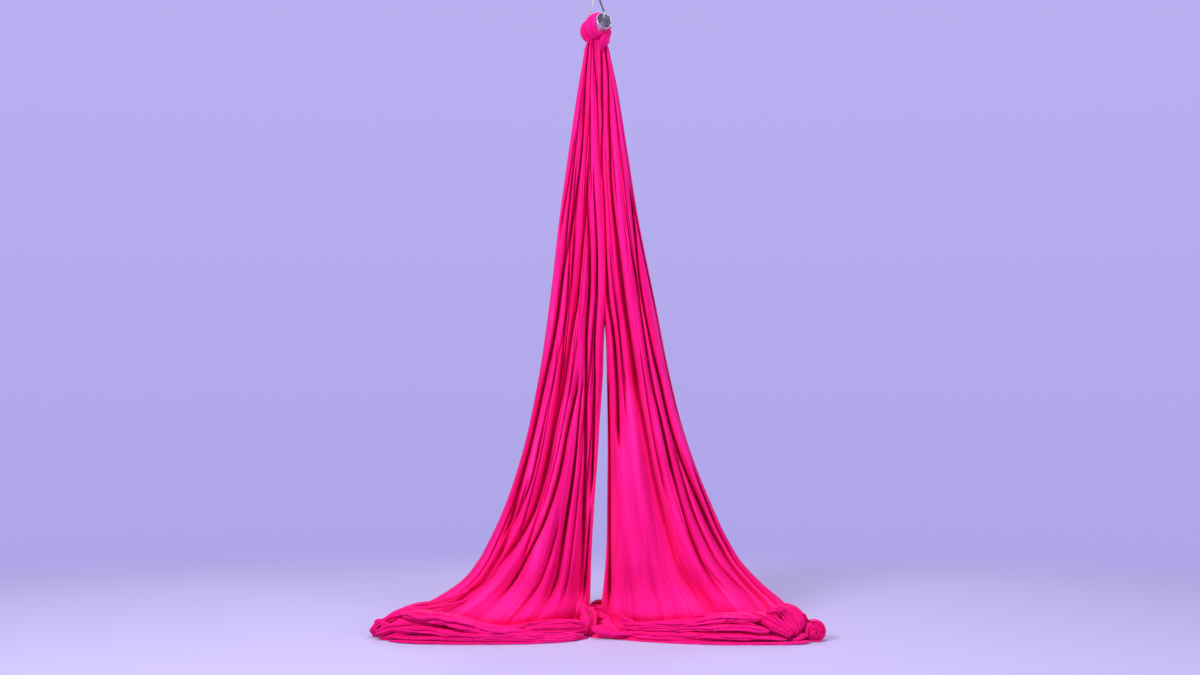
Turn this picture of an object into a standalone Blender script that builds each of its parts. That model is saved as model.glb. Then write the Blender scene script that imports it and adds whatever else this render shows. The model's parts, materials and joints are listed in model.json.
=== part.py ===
"""Aerial silks hitched round a short steel tube, hung by a wire rope sling under a swivel ceiling plate.

Metres, +Z up. The origin is the middle of the ceiling plate's top face, and everything hangs below it.
+X is to the viewer's right and -Y points at the viewer. The rig from the eye down to the tube is built
in a frame of its own, turned about Z so that its +X is the way that the tube points.
"""

import math

import bmesh
import bpy
from mathutils import Matrix, Vector

MM = 0.001

# Whole rig
CEILING_TO_TUBE = 468 * MM
TUBE_TO_FLOOR = 2678 * MM
RIG_TURN = math.radians(-63)
SEAT_GAP = 0.3 * MM
CUT_OVERRUN = 2 * MM
MERGE = 0.01 * MM
FLOOR_Z = -CEILING_TO_TUBE - TUBE_TO_FLOOR

# Ceiling plate
ANCHOR_PITCH = 96 * MM
ANCHOR_HOLE_RADIUS = 6.5 * MM
ANCHOR_TO_EDGE = 17 * MM
PLATE_SIDE = ANCHOR_PITCH + 2 * ANCHOR_TO_EDGE
PLATE_THICK = 8 * MM
PLATE_CORNER = 12 * MM
CORNER_STEPS = 6

# Swivel housing and its screws
FLANGE_RADIUS = 46 * MM
FLANGE_THICK = 6 * MM
HOUSING_RADIUS = 33 * MM
HOUSING_HEIGHT = 46 * MM
HOUSING_FLOOR = 9 * MM
HOUSING_WALL = 6.5 * MM
HOUSING_FILLET = 3 * MM
SCREW_COUNT = 4
SCREW_CIRCLE_RADIUS = 39.8 * MM
SCREW_RADIUS = 3 * MM
SCREW_CLEAR = 0.3 * MM
SCREW_HEAD_RADIUS = 5 * MM
SCREW_HEAD_HEIGHT = 6 * MM
SCREW_GRIP = 5 * MM
SOCKET_RADIUS = 2.9 * MM
SOCKET_DEPTH = 3 * MM

# Thrust bearing, nut and forged eye
STEM_RADIUS = 8 * MM
RUNNING_GAP = 0.3 * MM
BUSH_WALL = 2.6 * MM
BUSH_LIP = 2.5 * MM
BUSH_LIP_THICK = 2 * MM
RACE_OUTER_RADIUS = 24 * MM
RACE_THICK = 5 * MM
RACE_BORE_CLEAR = 1.2 * MM
BALL_RADIUS = 4.4 * MM
BALL_COUNT = 8
BALL_CIRCLE_RADIUS = 17 * MM
GROOVE_DEPTH = 1.3 * MM
CAGE_INNER_RADIUS = 10.5 * MM
CAGE_OUTER_RADIUS = 22.5 * MM
CAGE_THICK = 2.4 * MM
WASHER_RADIUS = 15 * MM
WASHER_THICK = 2.5 * MM
NUT_FLAT_RADIUS = 12 * MM
NUT_HEIGHT = 11 * MM
STEM_PAST_NUT = 1.5 * MM
EYE_COLLAR_RADIUS = 13 * MM
EYE_COLLAR_THICK = 6 * MM
EYE_NECK_RADIUS = 7 * MM
EYE_NECK_LENGTH = 6 * MM
EYE_RING_RADIUS = 21 * MM
EYE_ROD_RADIUS = 6 * MM

# Carabiner
LINK_ROD_RADIUS = 5.5 * MM
LINK_BOW_RADIUS = 22 * MM
LINK_STRAIGHT = 52 * MM
LINK_NOSE_LENGTH = 3 * MM
GATE_RADIUS = 5.1 * MM
GATE_GAP = 0.8 * MM
GATE_SWING = math.radians(25)
TONGUE_THICK = 4 * MM
TONGUE_CLEAR = 0.4 * MM
TONGUE_LENGTH = 6.5 * MM
FORK_DEPTH = 9 * MM
GATE_PIN_RADIUS = 1.6 * MM
GATE_PIN_RISE = 4.5 * MM
GATE_BORE_RADIUS = 3.2 * MM
GATE_BORE_DEPTH = 20 * MM
GATE_SPRING_RADIUS = 2.4 * MM
GATE_SPRING_WIRE = 0.45 * MM
GATE_SPRING_TURNS = 6
SLEEVE_CLEAR = 1 * MM
SLEEVE_WALL = 2.4 * MM
SLEEVE_LENGTH = 20 * MM

# Wire rope sling
WIRE_RADIUS = 4 * MM
THIMBLE_WALL = 2 * MM
EYE_BEND_RADIUS = 15 * MM
EYE_TO_FERRULE = 47 * MM
THIMBLE_LEG_SHARE = 0.74
FERRULE_LENGTH = 38 * MM
FERRULE_WALL = 3.5 * MM
FERRULE_LEAD = 2 * MM
RIM_BEND_RADIUS = 22 * MM
RIM_BEND_INSET = 17 * MM
RIM_BEND_RISE = 5 * MM
JOINT_LENGTH = 36 * MM
JOINT_WALL = 3 * MM
JOINT_END_GAP = 1 * MM

# Hanging tube
TUBE_RADIUS = 38 * MM
TUBE_WALL = 4 * MM
TUBE_LENGTH = 150 * MM
TUBE_EDGE = 0.8 * MM
TUBE_TILT = math.radians(15)
TUBE_SHIFT = 22 * MM

# Silk at the hitch
WRAP_THICK = 16 * MM
WRAP_THIN = 8 * MM
WRAP_LOBE = 6 * MM
WRAP_BACK_MARGIN = 1 * MM
WRAP_FRONT_MARGIN = 23 * MM
WRAP_SLANT = 9 * MM
WRAP_TOP_SHARE = 0.33
WRAP_VALLEY_SHARE = 0.42
WRAP_VALLEY_WIDTH_SHARE = 0.11
WRAP_VALLEY = 5 * MM
WRAP_POINTS = 14
WRAP_STEPS = 28
BIGHT_SCALE = 100 * MM
BIGHT_THICK = 9 * MM
BIGHT_CENTRE_SHARES = (
    (0.718, -0.06, -0.068), (0.655, -0.418, -0.355), (0.497, -0.598, -0.577), (0.36, -0.56, -0.78),
    (0.34, -0.50, -0.93),
)
BIGHT_WIDTH_SHARES = (0.07, 0.16, 0.27, 0.25, 0.11)
BIGHT_END_SHARE = 0.4
BIGHT_STEPS = 18
BIGHT_POINTS = 14

# Hanging tails: half widths are shares of the spread, heights are shares of the drop to the floor
TAIL_TOP_GAP = 0.3 * MM
TAIL_SPREAD = 1000 * MM
TAIL_SPLIT_GAP = 0.5 * MM
TAIL_SEAT_HEIGHT = 75 * MM
TAIL_DEPTH = 160 * MM
TAIL_LEAN = 40 * MM
TAIL_FADE = 80 * MM
TAIL_PIVOT_RISE = 15 * MM
LEFT_EDGE_SHARES = (
    (0.000, 0.036), (0.010, 0.045), (0.034, 0.055), (0.068, 0.071), (0.171, 0.112),
    (0.308, 0.162), (0.444, 0.203), (0.581, 0.256), (0.718, 0.337), (0.786, 0.396),
    (0.855, 0.477), (0.889, 0.527), (0.923, 0.606), (0.957, 0.760), (0.972, 0.845),
)
RIGHT_EDGE_SHARES = (
    (0.000, 0.046), (0.010, 0.058), (0.034, 0.074), (0.068, 0.094), (0.171, 0.139),
    (0.308, 0.197), (0.444, 0.269), (0.581, 0.341), (0.650, 0.386), (0.718, 0.444),
    (0.786, 0.516), (0.855, 0.601), (0.889, 0.656), (0.923, 0.742), (0.957, 0.848),
    (0.972, 0.880),
)
SLIT_MIDDLE_SHARES = (
    (0.000, 0.008), (0.250, 0.028), (0.488, 0.044), (0.575, 0.044), (0.645, 0.039),
    (0.713, 0.034), (0.765, 0.028), (0.885, 0.016), (0.972, 0.002),
)
SLIT_OPEN_SHARES = (
    (0.000, 0.000), (0.488, 0.000), (0.575, 0.0075), (0.645, 0.016), (0.713, 0.022),
    (0.765, 0.026), (0.885, 0.032), (0.972, 0.024),
)
DEPTH_SHARES = (
    (0.000, 0.21), (0.110, 0.36), (0.350, 0.56), (0.575, 0.72), (0.765, 0.88),
    (0.885, 0.97), (0.972, 1.00),
)
ROW_SHARES = (
    0.010, 0.027, 0.057, 0.090, 0.130, 0.180, 0.240, 0.310, 0.390, 0.470, 0.550,
    0.625, 0.690, 0.750, 0.805, 0.855, 0.895, 0.930, 0.955,
)
LEFT_FOLDS = 6
RIGHT_FOLDS = 5
FOLD_POINTS = 4
FOLD_DEPTH_SHARE = 0.2
FOLD_DRIFT_SHARE = 1.3
FOLD_REAR_PHASE = 2.1
FOLD_EDGE_SHARE = 0.167
ARCH_SHARE = 0.92
ARCH_LEAST_SHARE = 0.2
PANEL_SHARE = 0.36
PANEL_FROM_SHARE = 0.4
PANEL_CALM_SHARE = 0.15

# Cloth lying on the floor
POOL_REACH = 970 * MM
POOL_SLIT = 0.5 * MM
POOL_FRONT = 450 * MM
POOL_BACK = 240 * MM
POOL_HEIGHT = 92 * MM
POOL_LIP = 26 * MM
POOL_ROUND_POWER = 2.7
POOL_RINGS = 10
POOL_RING_POWER = 0.8
POOL_SPOKES = 44
POOL_FOLD_PITCH = 105 * MM
POOL_FOLD_SHARE = 0.2
POOL_DRIFT_SHARE = 0.35
POOL_FOOT_SHARE = 0.97
POOL_SEAT_MARGIN = 90 * MM
POOL_TAPER_FROM = 600 * MM
POOL_TAPER_LENGTH = 370 * MM
POOL_BACK_TAPER_SHARE = 0.8
POOL_HEIGHT_TAPER_SHARE = 0.2

# Colours
PINK = (0.87, 0.006, 0.19, 1)
STEEL = (0.55, 0.55, 0.56, 1)
DARK_STEEL = (0.20, 0.20, 0.21, 1)
BRONZE = (0.55, 0.36, 0.16, 1)
POWDER_WHITE = (0.80, 0.80, 0.80, 1)
ROUND_STEPS = 32
SMALL_STEPS = 20
SEAM_TURN = math.pi / ROUND_STEPS


def clear_scene():
    """Removes what the opened file holds."""
    for obj in list(bpy.data.objects):
        bpy.data.objects.remove(obj, do_unlink=True)


def finish(name, colour, roughness, metallic):
    """A Principled material."""
    material = bpy.data.materials.new(name)
    material.use_nodes = True
    shader = material.node_tree.nodes["Principled BSDF"]
    shader.inputs["Base Color"].default_value = colour
    shader.inputs["Roughness"].default_value = roughness
    shader.inputs["Metallic"].default_value = metallic
    return material


def empty(name, place, parent=None, turn=None):
    """A pivot that pieces hang on."""
    pivot = bpy.data.objects.new(name, None)
    bpy.context.scene.collection.objects.link(pivot)
    pivot.parent = parent
    pivot.location = place
    if turn is not None:
        pivot.rotation_euler = turn
    return pivot


def place(name, data, material, pivot=None, offset=None):
    """Makes the object, with its material, on its pivot; offset is the pivot's place in the mesh's frame."""
    obj = bpy.data.objects.new(name, data)
    bpy.context.scene.collection.objects.link(obj)
    data.materials.append(material)
    obj.parent = pivot
    if offset is not None:
        obj.location = -Vector(offset)
    return obj


def mesh_from(name, bm, smooth_degrees=35):
    """Closes a bmesh into a mesh with its faces pointing out."""
    bmesh.ops.remove_doubles(bm, verts=bm.verts, dist=MERGE)
    bmesh.ops.recalc_face_normals(bm, faces=bm.faces)
    mesh = bpy.data.meshes.new(name)
    bm.to_mesh(mesh)
    bm.free()
    mesh.shade_smooth()
    mesh.set_sharp_from_angle(angle=math.radians(smooth_degrees))
    return mesh


def turned(name, profile, steps=ROUND_STEPS):
    """A solid of revolution about Z. The profile is (radius, z) points; a closed one makes a ring."""
    bm = bmesh.new()
    verts = [bm.verts.new((radius, 0, z)) for radius, z in profile]
    on_axis = profile[0][0] == 0 and profile[-1][0] == 0
    count = len(verts) if not on_axis else len(verts) - 1
    edges = [bm.edges.new((verts[i], verts[(i + 1) % len(verts)])) for i in range(count)]
    bmesh.ops.spin(
        bm, geom=verts + edges, cent=(0, 0, 0), axis=(0, 0, 1), dvec=(0, 0, 0),
        angle=math.tau, steps=steps, use_merge=True, use_duplicate=False,
    )
    return mesh_from(name, bm)


def ring_profile(inner, outer, low, high):
    """A square-edged ring's profile."""
    return [(outer, high), (outer, low), (inner, low), (inner, high)]


def extruded(name, loops, low, high, smooth_degrees=35):
    """A prism between two heights; loops[0] is its outline, and loops[1], if any, its bore."""
    bm = bmesh.new()
    rings = []
    for loop in loops:
        lower = [bm.verts.new((x, y, low)) for x, y in loop]
        upper = [bm.verts.new((x, y, high)) for x, y in loop]
        rings.append((lower, upper))
        for i in range(len(loop)):
            j = (i + 1) % len(loop)
            bm.faces.new((lower[i], lower[j], upper[j], upper[i]))
    if len(loops) == 1:
        bm.faces.new(rings[0][0])
        bm.faces.new(rings[0][1])
    else:
        for level in (0, 1):
            outer = rings[0][level]
            inner = rings[1][level]
            for i in range(len(outer)):
                j = (i + 1) % len(outer)
                bm.faces.new((outer[i], outer[j], inner[j], inner[i]))
    return mesh_from(name, bm, smooth_degrees)


def circle(radius, steps, turn=0.0):
    """Points round a circle."""
    angles = [turn + math.tau * i / steps for i in range(steps)]
    return [(radius * math.cos(a), radius * math.sin(a)) for a in angles]


def stadium(half, radius, steps):
    """A slot's outline: two half circles, half apart on each side of the middle."""
    points = []
    for side in (1, -1):
        for i in range(steps + 1):
            angle = math.pi * i / steps - math.pi / 2
            x = side * (half + radius * math.cos(angle))
            points.append((x, side * radius * math.sin(angle)))
    return points


def rod(name, points, radius, material, resolution=2, cyclic=False, pivot=None, offset=None):
    """A round bar or wire along a path."""
    curve = bpy.data.curves.new(name, "CURVE")
    curve.dimensions = "3D"
    curve.bevel_depth = radius
    curve.bevel_resolution = resolution
    curve.use_fill_caps = True
    spline = curve.splines.new("POLY")
    spline.points.add(len(points) - 1)
    for point, where in zip(spline.points, points):
        point.co = (*where, 1)
    spline.use_cyclic_u = cyclic
    return place(name, curve, material, pivot, offset)


def cut(obj, name, mesh, operation="DIFFERENCE"):
    """Cuts or joins a helper mesh, kept in the scene as a wire shape."""
    helper = bpy.data.objects.new(name, mesh)
    bpy.context.scene.collection.objects.link(helper)
    helper.hide_render = True
    helper.display_type = "WIRE"
    helper.parent = obj.parent
    helper.location = obj.location
    modifier = obj.modifiers.new(name, "BOOLEAN")
    modifier.object = helper
    modifier.operation = operation
    modifier.solver = "EXACT"


def moved(mesh, matrix):
    """The mesh after a move."""
    mesh.transform(matrix)
    return mesh


def cylinder(name, radius, low, high, steps=SMALL_STEPS):
    """A plain cylinder about Z."""
    return turned(name, [(0, high), (radius, high), (radius, low), (0, low)], steps)


def smooth_through(table, at):
    """A smooth curve through (position, value) pairs, read at a position."""
    if at <= table[0][0]:
        return table[0][1]
    if at >= table[-1][0]:
        return table[-1][1]
    last = len(table) - 1
    k = next(i for i in range(last) if table[i + 1][0] >= at)

    def slope(i):
        low = max(i - 1, 0)
        high = min(i + 1, last)
        return (table[high][1] - table[low][1]) / (table[high][0] - table[low][0])

    width = table[k + 1][0] - table[k][0]
    t = (at - table[k][0]) / width
    start = (2 * t**3 - 3 * t**2 + 1) * table[k][1] + (t**3 - 2 * t**2 + t) * width * slope(k)
    end = (3 * t**2 - 2 * t**3) * table[k + 1][1] + (t**3 - t**2) * width * slope(k + 1)
    return start + end


def make_ceiling_plate(steel):
    """The square plate with its four anchor holes and the blind holes for the housing's screws."""
    half = PLATE_SIDE / 2
    outline = []
    for corner in range(4):
        turn = math.pi / 2 * corner
        for i in range(CORNER_STEPS + 1):
            angle = turn + math.pi / 2 * i / CORNER_STEPS
            middle = half - PLATE_CORNER
            x = middle * (1 if corner in (0, 3) else -1) + PLATE_CORNER * math.cos(angle)
            y = middle * (1 if corner in (0, 1) else -1) + PLATE_CORNER * math.sin(angle)
            outline.append((x, y))
    plate = place("ceiling_plate", extruded("ceiling_plate", [outline], -PLATE_THICK, 0), steel)
    for i, (x, y) in enumerate(circle(ANCHOR_PITCH / math.sqrt(2), 4, math.pi / 4)):
        hole = cylinder("anchor_hole", ANCHOR_HOLE_RADIUS, -PLATE_THICK - CUT_OVERRUN, CUT_OVERRUN)
        cut(plate, f"anchor_hole_{i + 1}", moved(hole, Matrix.Translation((x, y, 0))))
    for i, (x, y) in enumerate(circle(SCREW_CIRCLE_RADIUS, SCREW_COUNT, SEAM_TURN)):
        depth = SCREW_GRIP + SCREW_CLEAR
        hole = cylinder(
            "screw_hole", SCREW_RADIUS + SCREW_CLEAR, -PLATE_THICK - CUT_OVERRUN, depth - PLATE_THICK
        )
        cut(plate, f"plate_screw_hole_{i + 1}", moved(hole, Matrix.Translation((x, y, 0))))


HOUSING_TOP = -PLATE_THICK - SEAT_GAP
HOUSING_BOTTOM = HOUSING_TOP - HOUSING_HEIGHT
HOUSING_FLOOR_TOP = HOUSING_BOTTOM + HOUSING_FLOOR
BUSH_INNER = STEM_RADIUS + RUNNING_GAP
BUSH_OUTER = BUSH_INNER + BUSH_WALL


def make_housing(steel, screw_steel, bronze):
    """The cup under the plate, its four screws and the bush in its floor."""
    inside = HOUSING_RADIUS - HOUSING_WALL
    bore = BUSH_OUTER + SEAT_GAP
    lip_seat = BUSH_OUTER + BUSH_LIP + SEAT_GAP
    lip_top = HOUSING_BOTTOM + BUSH_LIP_THICK + SEAT_GAP
    profile = [
        (FLANGE_RADIUS, HOUSING_TOP),
        (FLANGE_RADIUS, HOUSING_TOP - FLANGE_THICK),
        (HOUSING_RADIUS, HOUSING_TOP - FLANGE_THICK),
        (HOUSING_RADIUS, HOUSING_BOTTOM + HOUSING_FILLET),
        (HOUSING_RADIUS - HOUSING_FILLET, HOUSING_BOTTOM),
        (lip_seat, HOUSING_BOTTOM),
        (lip_seat, lip_top),
        (bore, lip_top),
        (bore, HOUSING_FLOOR_TOP),
        (inside, HOUSING_FLOOR_TOP),
        (inside, HOUSING_TOP),
    ]
    housing = place("swivel_housing", turned("swivel_housing", profile), steel)
    flange_bottom = HOUSING_TOP - FLANGE_THICK
    head_top = flange_bottom - SEAT_GAP
    head_low = head_top - SCREW_HEAD_HEIGHT
    screw_top = -PLATE_THICK + SCREW_GRIP
    for i, (x, y) in enumerate(circle(SCREW_CIRCLE_RADIUS, SCREW_COUNT, SEAM_TURN)):
        hole = cylinder(
            "flange_hole", SCREW_RADIUS + SCREW_CLEAR, flange_bottom - CUT_OVERRUN, HOUSING_TOP + CUT_OVERRUN
        )
        cut(housing, f"flange_hole_{i + 1}", moved(hole, Matrix.Translation((x, y, 0))))
        body = [
            (0, screw_top), (SCREW_RADIUS, screw_top), (SCREW_RADIUS, head_top),
            (SCREW_HEAD_RADIUS, head_top), (SCREW_HEAD_RADIUS, head_low), (0, head_low),
        ]
        screw = place(f"housing_screw_{i + 1}", turned("housing_screw", body, SMALL_STEPS), screw_steel)
        screw.location = (x, y, 0)
        socket = extruded(
            "socket", [circle(SOCKET_RADIUS, 6)], head_low - CUT_OVERRUN, head_low + SOCKET_DEPTH
        )
        cut(screw, f"socket_{i + 1}", socket)
    bush = [
        (BUSH_OUTER, HOUSING_FLOOR_TOP), (BUSH_OUTER, HOUSING_BOTTOM + BUSH_LIP_THICK),
        (BUSH_OUTER + BUSH_LIP, HOUSING_BOTTOM + BUSH_LIP_THICK),
        (BUSH_OUTER + BUSH_LIP, HOUSING_BOTTOM), (BUSH_INNER, HOUSING_BOTTOM),
        (BUSH_INNER, HOUSING_FLOOR_TOP),
    ]
    place("stem_bush", turned("stem_bush", bush), bronze)


RACE_BORE = STEM_RADIUS + RACE_BORE_CLEAR
LOWER_RACE_LOW = HOUSING_FLOOR_TOP + SEAT_GAP
LOWER_RACE_TOP = LOWER_RACE_LOW + RACE_THICK
BALL_Z = LOWER_RACE_TOP - GROOVE_DEPTH + SEAT_GAP + BALL_RADIUS
UPPER_RACE_LOW = BALL_Z + BALL_RADIUS + SEAT_GAP - GROOVE_DEPTH
UPPER_RACE_TOP = UPPER_RACE_LOW + RACE_THICK


def race_profile(face, back, toward):
    """A race's profile with its ball groove cut in the face."""
    groove = BALL_RADIUS + SEAT_GAP
    reach = math.acos((groove - GROOVE_DEPTH) / groove)
    centre = face + toward * (groove - GROOVE_DEPTH)
    points = [(RACE_OUTER_RADIUS, back), (RACE_OUTER_RADIUS, face)]
    for i in range(6):
        angle = reach - 2 * reach * i / 5
        across = BALL_CIRCLE_RADIUS + groove * math.sin(angle)
        points.append((across, centre - toward * groove * math.cos(angle)))
    points += [(RACE_BORE, face), (RACE_BORE, back)]
    return points


def make_bearing(steel, bronze):
    """The thrust bearing on the housing's floor: two races, eight balls and their cage."""
    lower = race_profile(LOWER_RACE_TOP, LOWER_RACE_LOW, 1)
    place("lower_race", turned("lower_race", lower), steel)
    upper = race_profile(UPPER_RACE_LOW, UPPER_RACE_TOP, -1)
    place("upper_race", turned("upper_race", upper), steel)
    half = CAGE_THICK / 2
    band = ring_profile(CAGE_INNER_RADIUS, CAGE_OUTER_RADIUS, BALL_Z - half, BALL_Z + half)
    cage = place("bearing_cage", turned("bearing_cage", band), bronze)
    pocket_radius = BALL_RADIUS + 2 * SEAT_GAP
    for i, (x, y) in enumerate(circle(BALL_CIRCLE_RADIUS, BALL_COUNT, SEAM_TURN)):
        low = BALL_Z - half - CUT_OVERRUN
        pocket = cylinder("pocket", pocket_radius, low, BALL_Z + half + CUT_OVERRUN)
        cut(cage, f"pocket_{i + 1}", moved(pocket, Matrix.Translation((x, y, 0))))
        bm = bmesh.new()
        bmesh.ops.create_uvsphere(bm, u_segments=12, v_segments=8, radius=BALL_RADIUS)
        ball = place(f"bearing_ball_{i + 1}", mesh_from("bearing_ball", bm), steel)
        ball.location = (x, y, BALL_Z)


NUT_LOW = UPPER_RACE_TOP + WASHER_THICK + 2 * SEAT_GAP
COLLAR_TOP = HOUSING_BOTTOM - SEAT_GAP
EYE_Z = COLLAR_TOP - EYE_COLLAR_THICK - EYE_NECK_LENGTH - EYE_RING_RADIUS


def make_eye(rig, steel, dark):
    """The forged eye, its washer and the nut that carries it on the bearing."""
    low = UPPER_RACE_TOP + SEAT_GAP
    washer = ring_profile(STEM_RADIUS + SEAT_GAP, WASHER_RADIUS, low, low + WASHER_THICK)
    place("stem_washer", turned("stem_washer", washer), steel, rig)
    corner = NUT_FLAT_RADIUS / math.cos(math.pi / 6)
    hexagon = []
    for i in range(24):
        angle = math.tau * i / 24
        side = (angle + math.pi / 6) % (math.pi / 3) - math.pi / 6
        reach = min(corner, NUT_FLAT_RADIUS / math.cos(side))
        hexagon.append((reach * math.cos(angle), reach * math.sin(angle)))
    bore = circle(STEM_RADIUS + SEAT_GAP, 24)
    place("stem_nut", extruded("stem_nut", [hexagon, bore], NUT_LOW, NUT_LOW + NUT_HEIGHT), steel, rig)
    top = NUT_LOW + NUT_HEIGHT + STEM_PAST_NUT
    chamfer = STEM_PAST_NUT
    neck_top = COLLAR_TOP - EYE_COLLAR_THICK
    neck_low = EYE_Z + EYE_RING_RADIUS
    body = [
        (0, top), (STEM_RADIUS - chamfer, top), (STEM_RADIUS, top - chamfer), (STEM_RADIUS, COLLAR_TOP),
        (EYE_COLLAR_RADIUS, COLLAR_TOP), (EYE_COLLAR_RADIUS, neck_top),
        (EYE_NECK_RADIUS, neck_top - chamfer), (EYE_NECK_RADIUS, neck_low), (0, neck_low - chamfer),
    ]
    stem = place("eye_stem", turned("eye_stem", body, SMALL_STEPS), dark, rig)
    bm = bmesh.new()
    loop = [
        bm.verts.new((EYE_RING_RADIUS + x, 0, z)) for x, z in circle(EYE_ROD_RADIUS, 12)
    ]
    edges = [bm.edges.new((loop[i], loop[(i + 1) % 12])) for i in range(12)]
    bmesh.ops.spin(
        bm, geom=loop + edges, cent=(0, 0, 0), axis=(0, 0, 1), dvec=(0, 0, 0),
        angle=math.tau, steps=ROUND_STEPS, use_merge=True, use_duplicate=False,
    )
    ring = mesh_from("eye_ring", bm)
    stand = Matrix.Translation((0, 0, EYE_Z)) @ Matrix.Rotation(math.pi / 2, 4, "X")
    cut(stem, "eye_ring", moved(ring, stand), "UNION")


LINK_PIVOT_Z = EYE_Z - EYE_RING_RADIUS
LINK_CROWN_Z = LINK_PIVOT_Z + EYE_ROD_RADIUS + SEAT_GAP + LINK_ROD_RADIUS
LINK_TOP_Z = LINK_CROWN_Z - LINK_BOW_RADIUS
LINK_LOW_Z = LINK_TOP_Z - LINK_STRAIGHT
LINK_FOOT_Z = LINK_LOW_Z - LINK_BOW_RADIUS
FORK_TOP_Z = LINK_LOW_Z + FORK_DEPTH
GATE_LOW_Z = FORK_TOP_Z + GATE_GAP
GATE_HIGH_Z = LINK_TOP_Z - LINK_NOSE_LENGTH - GATE_GAP
GATE_PIN_Z = LINK_LOW_Z + GATE_PIN_RISE


def bow(centre, start, end, steps):
    """Points of an arc of the carabiner in its own plane."""
    points = []
    for i in range(steps + 1):
        angle = start + (end - start) * i / steps
        points.append((0, LINK_BOW_RADIUS * math.cos(angle), centre + LINK_BOW_RADIUS * math.sin(angle)))
    return points


def slab(name, thick, low, high, middle, reach):
    """A box through the carabiner's rod, thin along the rig's X."""
    bm = bmesh.new()
    bmesh.ops.create_cube(bm, size=1)
    size = Matrix.Diagonal((thick, 2 * reach, high - low, 1))
    at = Matrix.Translation((0, middle, (low + high) / 2))
    bmesh.ops.transform(bm, matrix=at @ size, verts=bm.verts)
    return mesh_from(name, bm)


def cross_hole(name, radius, middle, z):
    """A hole or pin along the rig's X at the gate's hinge."""
    reach = LINK_ROD_RADIUS + CUT_OVERRUN
    mesh = cylinder(name, radius, -reach, reach)
    return moved(mesh, Matrix.Translation((0, middle, z)) @ Matrix.Rotation(math.pi / 2, 4, "Y"))


def make_carabiner(link, gate_pivot, steel, dark):
    """The frame with its fork and nose, the gate with its pin and spring, and the locking sleeve."""
    at = (0, 0, LINK_PIVOT_Z)
    path = [(0, LINK_BOW_RADIUS, FORK_TOP_Z)]
    path += bow(LINK_LOW_Z, 0, -math.pi, 14)
    path += bow(LINK_TOP_Z, math.pi, 0, 14)
    path.append((0, LINK_BOW_RADIUS, LINK_TOP_Z - LINK_NOSE_LENGTH))
    frame_curve = rod("frame_rod", path, LINK_ROD_RADIUS, steel, 3, pivot=link, offset=at)
    depsgraph = bpy.context.evaluated_depsgraph_get()
    mesh = bpy.data.meshes.new_from_object(frame_curve.evaluated_get(depsgraph))
    bpy.data.objects.remove(frame_curve, do_unlink=True)
    mesh.materials.clear()
    bm = bmesh.new()
    bm.from_mesh(mesh)
    bpy.data.meshes.remove(mesh)
    frame = place("carabiner_frame", mesh_from("carabiner_frame", bm), steel, link, at)
    middle = LINK_BOW_RADIUS
    wide = LINK_ROD_RADIUS + CUT_OVERRUN
    slot = TONGUE_THICK + 2 * TONGUE_CLEAR
    cut(frame, "frame_fork", slab("frame_fork", slot, LINK_LOW_Z, FORK_TOP_Z + CUT_OVERRUN, middle, wide))
    pin_hole = GATE_PIN_RADIUS + SEAT_GAP
    cut(frame, "frame_pin_hole", cross_hole("frame_pin_hole", pin_hole, middle, GATE_PIN_Z))
    pin = cylinder("gate_pin", GATE_PIN_RADIUS, -LINK_ROD_RADIUS, LINK_ROD_RADIUS, 12)
    stand = Matrix.Translation((0, middle, GATE_PIN_Z)) @ Matrix.Rotation(math.pi / 2, 4, "Y")
    place("gate_pin", moved(pin, stand), dark, link, at)

    hinge = (0, middle, GATE_PIN_Z)
    taper_z = GATE_LOW_Z + GATE_RADIUS * math.tan(GATE_SWING)
    profile = [(0, GATE_HIGH_Z), (GATE_RADIUS, GATE_HIGH_Z), (GATE_RADIUS, taper_z), (0, GATE_LOW_Z)]
    body = turned("carabiner_gate", profile, SMALL_STEPS)
    gate = place("carabiner_gate", moved(body, Matrix.Translation((0, middle, 0))), steel, gate_pivot, hinge)
    foot = GATE_PIN_Z - TONGUE_THICK / 2 - SEAT_GAP
    tongue_half = GATE_RADIUS - TONGUE_CLEAR
    tongue = slab("gate_tongue", TONGUE_THICK, foot, GATE_LOW_Z + TONGUE_LENGTH / 2, middle, tongue_half)
    cut(gate, "gate_tongue", tongue, "UNION")
    cut(gate, "gate_pin_hole", cross_hole("gate_pin_hole", pin_hole, middle, GATE_PIN_Z))
    bore_low = GATE_HIGH_Z - GATE_BORE_DEPTH
    bore = cylinder("gate_bore", GATE_BORE_RADIUS, bore_low, GATE_HIGH_Z + CUT_OVERRUN, 16)
    cut(gate, "gate_bore", moved(bore, Matrix.Translation((0, middle, 0))))
    coil = []
    steps = 8
    low = bore_low + GATE_SPRING_WIRE + SEAT_GAP
    high = GATE_HIGH_Z - GATE_SPRING_WIRE
    total = GATE_SPRING_TURNS * steps
    for i in range(total + 1):
        angle = math.tau * i / steps
        x = GATE_SPRING_RADIUS * math.cos(angle)
        y = middle + GATE_SPRING_RADIUS * math.sin(angle)
        coil.append((x, y, low + (high - low) * i / total))
    rod("gate_spring", coil, GATE_SPRING_WIRE, dark, 1, pivot=gate_pivot, offset=hinge)
    inner = GATE_RADIUS + SLEEVE_CLEAR
    sleeve_low = GATE_LOW_Z + TONGUE_LENGTH
    sleeve = ring_profile(inner, inner + SLEEVE_WALL, sleeve_low, sleeve_low + SLEEVE_LENGTH)
    ring = moved(turned("lock_sleeve", sleeve, 24), Matrix.Translation((0, middle, 0)))
    place("lock_sleeve", ring, dark, gate_pivot, hinge)


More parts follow.
